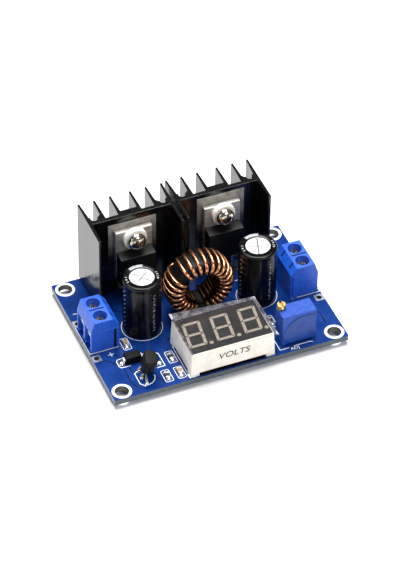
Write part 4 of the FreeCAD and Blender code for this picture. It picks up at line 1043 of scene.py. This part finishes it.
OUTLINE_HALF = np.array([1.08, 2.18])
OUTLINE_CORNER = 0.4


def part_outline(x, y):
    """Closed rectangle with round corners round a small part, as four arcs."""
    reach = OUTLINE_HALF - OUTLINE_CORNER
    spots = [(x, y) + reach * signs for signs in ((1, 1), (-1, 1), (-1, -1), (1, -1))]
    arcs = [arc(spot, OUTLINE_CORNER, 90 * n, 90 * n + 90, 5) for n, spot in enumerate(spots)]
    return np.concatenate(arcs)


def board_print():
    """White outlines of the parts, rings at the mounting holes, and the plus and minus signs."""
    lines = []

    def draw(line, width=0.2, closed=False):
        lines.append(stroke(line, width, BOARD_TOP, INK, closed))

    for a in (-1, 1):
        for b in (-1, 1):
            centre = (a * HOLE_SPACING[0] / 2, b * HOLE_SPACING[1] / 2)
            lines.append(ring_pad(centre, HOLE_RADIUS + 0.12, 2.65, False, BOARD_TOP, INK))
    for side in SIDES:
        draw(arc(corners("capacitor_%s_sleeve" % side)[2], 5.45, 0, 357, 90), 0.16, closed=True)
    for sign in (-1, 1):
        draw([(24.6 * sign, -4.95), (32.75 * sign, -4.95), (32.75 * sign, 5.95), (24.6 * sign, 5.95)])
    draw([(-27.65, -7.75), (-27.65, -6.25)])
    for x, y in ((-28.4, -7.0), (-31.5, 10.9), (27.6, 7.6)):
        draw([(x, y), (x + 1.5, y)])
    for x, y in SMALL_PARTS:
        draw(part_outline(x, y), 0.15, closed=True)
    draw([(-25.6, -9.4), (-27.0, -9.6), (-27.35, -10.2), (-27.35, -12.0), (-26.9, -12.7), (-24.4, -12.8)])
    draw([(-20.2, -9.9), (-17.2, -10.2), (-16.1, -11.2), (-16.05, -16.0), (-18.3, -16.1)])
    round_side = arc((-22.9, -18.1), 2.95, 262, 360, 16)
    draw([(-23.4, -15.2), (-24.6, -16.0), (-24.6, -20.0), (-23.6, -21.2), *round_side])
    draw([(14.0, -17.75), (14.0, -21.9), (16.6, -21.9)])
    draw([(18.0, -21.7), (22.6, -21.7), (23.4, -22.0)])
    draw([(-11.65, -10.2), (-11.75, -20.6)], 0.14)
    draw([(-10.2, -22.75), (-11.7, -22.65), (-11.85, -21.2)], 0.45)
    for a, b in ((13.4, 7.2), (15.3, 11.2)):
        draw([(a, b), (a + 1.6, b)])
    return lines


make_piece("board_print", board_print(), ink, sharp=20)


# Hem of the protective film, and painted highlights on its creased corners

def film_edges():
    """The strips that stand over the back and both ends of the case, and painted highlights on three
    creased folds.
    """
    x, y, z = 0.25, -15.6, corners("display_film")[1][2] + 0.01
    strips = [
        [(-11.3, 9.35), (12.1, 7.48), (11.2, 6.45), (-11.2, 6.5)],
        [(12.1, 7.4), (12.4, -8.2), (11.6, -7.0), (11.3, 6.45)],
        [(-11.5, 7.0), (-11.0, 6.5), (-11.1, -6.85), (-11.55, -6.85)],
    ]
    glint_folds = [
        [(-11.45, 9.4), (-10.7, 9.3), (-10.9, 7.6), (-11.45, 7.0)],
        [(12.2, -6.6), (12.43, -8.38), (11.6, -7.8), (11.9, -7.2)],
        [(10.9, 7.5), (12.1, 7.46), (12.12, 6.2), (11.8, 6.8)],
    ]
    # The creased corners are nearly white patches: painted highlights
    for name, outlines, lift, material in (("hem", strips, 0, hem), ("crease_glints", glint_folds, 0.03, crease_glint)):
        parts = [flat_patch(np.array(line) + (x, y), z + lift, 0.02) for line in outlines]
        make_piece("display_film_" + name, parts, material, sharp=20)


film_edges()


# Gaps between the copper areas, which show through the mask as darker lines

def copper_gaps():
    """Dark lines where the copper under the mask is interrupted."""
    routes = [
        [(-32.4, -9.3), (-30.3, -8.4), (-29.1, -9.2), (-27.9, -11.0)],
        [(-26.3, -13.1), (-26.5, -16.6), (-26.5, -18.6), (-25.8, -20.7), (-24.4, -21.9), (-20.0, -22.6)],
        [(-25.0, -13.3), (-24.9, -15.4)],
        [(-27.0, -7.6), (-25.2, -9.5)],
        [(-20.0, -19.1), (-18.6, -20.6), (-18.5, -22.4)],
        [(-21.1, 15.7), (-21.1, 8.5), (-17.5, 6.0)],
        [(-12.2, -7.6), (-9.0, -6.0), (-9.0, -2.0)],
        [(24.2, -8.6), (21.0, -12.0), (14.0, -12.8), (12.6, -14.6)],
        [(24.2, -5.6), (20.5, -8.8), (13.6, -8.8)],
        [(12.9, -22.6), (12.9, -19.0), (14.6, -16.2)],
        [(26.8, -9.6), (29.4, -12.6), (29.4, -16.6)],
        [(10.6, 6.2), (9.2, 3.0), (10.6, -0.6)],
    ]
    lines = [stroke(route, 0.34, BOARD_TOP, 0.008) for route in routes]
    for n in range(24):
        x = -9.0 + 0.78 * n
        lines.append(stroke([(x, -23.55), (x + 0.4, -22.8)], 0.3, BOARD_TOP, 0.008))
    return lines


make_piece("copper_gaps", copper_gaps(), gap_mask, sharp=20)


# Words: generic ones only

def printed_word(name, text, size, place, turn, material, squeeze=1.0, lean=0.0):
    """Flat letters made a mesh, then squeezed, turned and put in place."""
    curve = bpy.data.curves.new(name, "FONT")
    curve.body = text
    curve.size = size * MM
    curve.extrude = 0.012 * MM
    curve.align_x = "CENTER"
    curve.align_y = "CENTER"
    curve.shear = lean
    curve.resolution_u = 4
    holder = added(name + "_curve", curve)
    bpy.context.view_layer.update()
    mesh = bpy.data.meshes.new_from_object(holder.evaluated_get(bpy.context.evaluated_depsgraph_get()))
    bpy.data.objects.remove(holder)
    spot = Matrix.Translation(Vector(place) * MM) @ Euler(turn).to_matrix().to_4x4()
    mesh.transform(spot @ Matrix.Diagonal((squeeze, 1, 1, 1)))
    finish_piece(name, mesh, material, "module", 30.0)


WORD_HEIGHT = 4.6
CASE_DRAFT = 0.3

case_low, case_high, case_middle = corners("display_case")
front = case_low[1] + CASE_DRAFT * (case_high[2] - WORD_HEIGHT) / case_high[2]
tilt = math.atan2(CASE_DRAFT, case_high[2])
word_place = (case_middle[0] + 0.2, front - 0.01, WORD_HEIGHT)
printed_word("display_word", "VOLTS", 2.6, word_place, (math.pi / 2 - tilt, 0, 0), case_ink, 1.15, 0.2)
printed_word("trimmer_word", "ADJ", 1.5, (18.0, -22.55, INK), (0, 0, 0), ink)


# Floor, light and camera

CAMERA_AZIMUTH = math.radians(-22.88)
CAMERA_ELEVATION = math.radians(42.737)
CAMERA_ROLL = math.radians(0.7511)
CAMERA_DISTANCE = 861.596
CAMERA_TARGET = np.array([4.0909, 9.1263, 0.0])
FOCAL_PIXELS = 3224.595
PICTURE_HEIGHT = 570
SENSOR = 36.0


def add_camera():
    """The camera that took the photograph: it stands at target + distance along the back direction."""
    a, e, roll = CAMERA_AZIMUTH, CAMERA_ELEVATION, CAMERA_ROLL
    back = np.array([math.sin(a) * math.cos(e), -math.cos(a) * math.cos(e), math.sin(e)])
    level = np.array([math.cos(a), math.sin(a), 0.0])
    upright = np.cross(back, level)
    right = level * math.cos(roll) + upright * math.sin(roll)
    up = upright * math.cos(roll) - level * math.sin(roll)
    data = bpy.data.cameras.new("camera")
    data.sensor_fit = "AUTO"
    data.sensor_width = SENSOR
    data.lens = FOCAL_PIXELS * SENSOR / PICTURE_HEIGHT
    data.clip_start, data.clip_end = 0.01, 20.0
    camera = added("camera", data)
    spot = (CAMERA_TARGET + back * CAMERA_DISTANCE) * MM
    columns = np.stack([right, up, back, spot], 1)
    camera.matrix_world = Matrix([*columns.tolist(), (0, 0, 0, 1)])
    scene.camera = camera


def add_floor():
    """A plain white sweep under the solder tips."""
    size, z = 3.0, cad_box[0].z - 0.0001
    mesh = bpy.data.meshes.new("floor")
    spots = [(x * size, y * size, z) for x, y in ((-1, -1), (1, -1), (1, 1), (-1, 1))]
    mesh.from_pydata(spots, [], [(0, 1, 2, 3)])
    material, _, _ = surface("floor_paper", "#efefef", 0.0, 0.9)
    mesh.materials.append(material)
    floor = added("floor", mesh)


def add_light(name, place, size, power):
    """A square white soft box that faces the module; place in metres."""
    data = bpy.data.lights.new(name, "AREA")
    data.shape = "SQUARE"
    data.size = size
    data.energy = power
    lamp = added(name, data)
    lamp.location = place
    lamp.rotation_mode = "QUATERNION"
    lamp.rotation_quaternion = (Vector((0, 0, 0.01)) - Vector(place)).to_track_quat("-Z", "Y")


def add_studio():
    """Overhead box a little behind, a weaker one in front, and a dim even surround."""
    world = bpy.data.worlds.new("surround")
    world.use_nodes = True
    scene.world = world
    ground = world.node_tree.nodes["Background"]
    ground.inputs["Color"].default_value = linear("#ffffff")
    ground.inputs["Strength"].default_value = 0.12
    add_light("overhead", (0.05, 0.2, 0.72), 0.5, 11.0)
    add_light("front", (0.18, -0.62, 0.5), 0.25, 2.4)
    add_light("left", (-0.8, -0.1, 0.3), 0.4, 2.0)
    scene.view_settings.view_transform = "Standard"


add_floor()
add_studio()
add_camera()
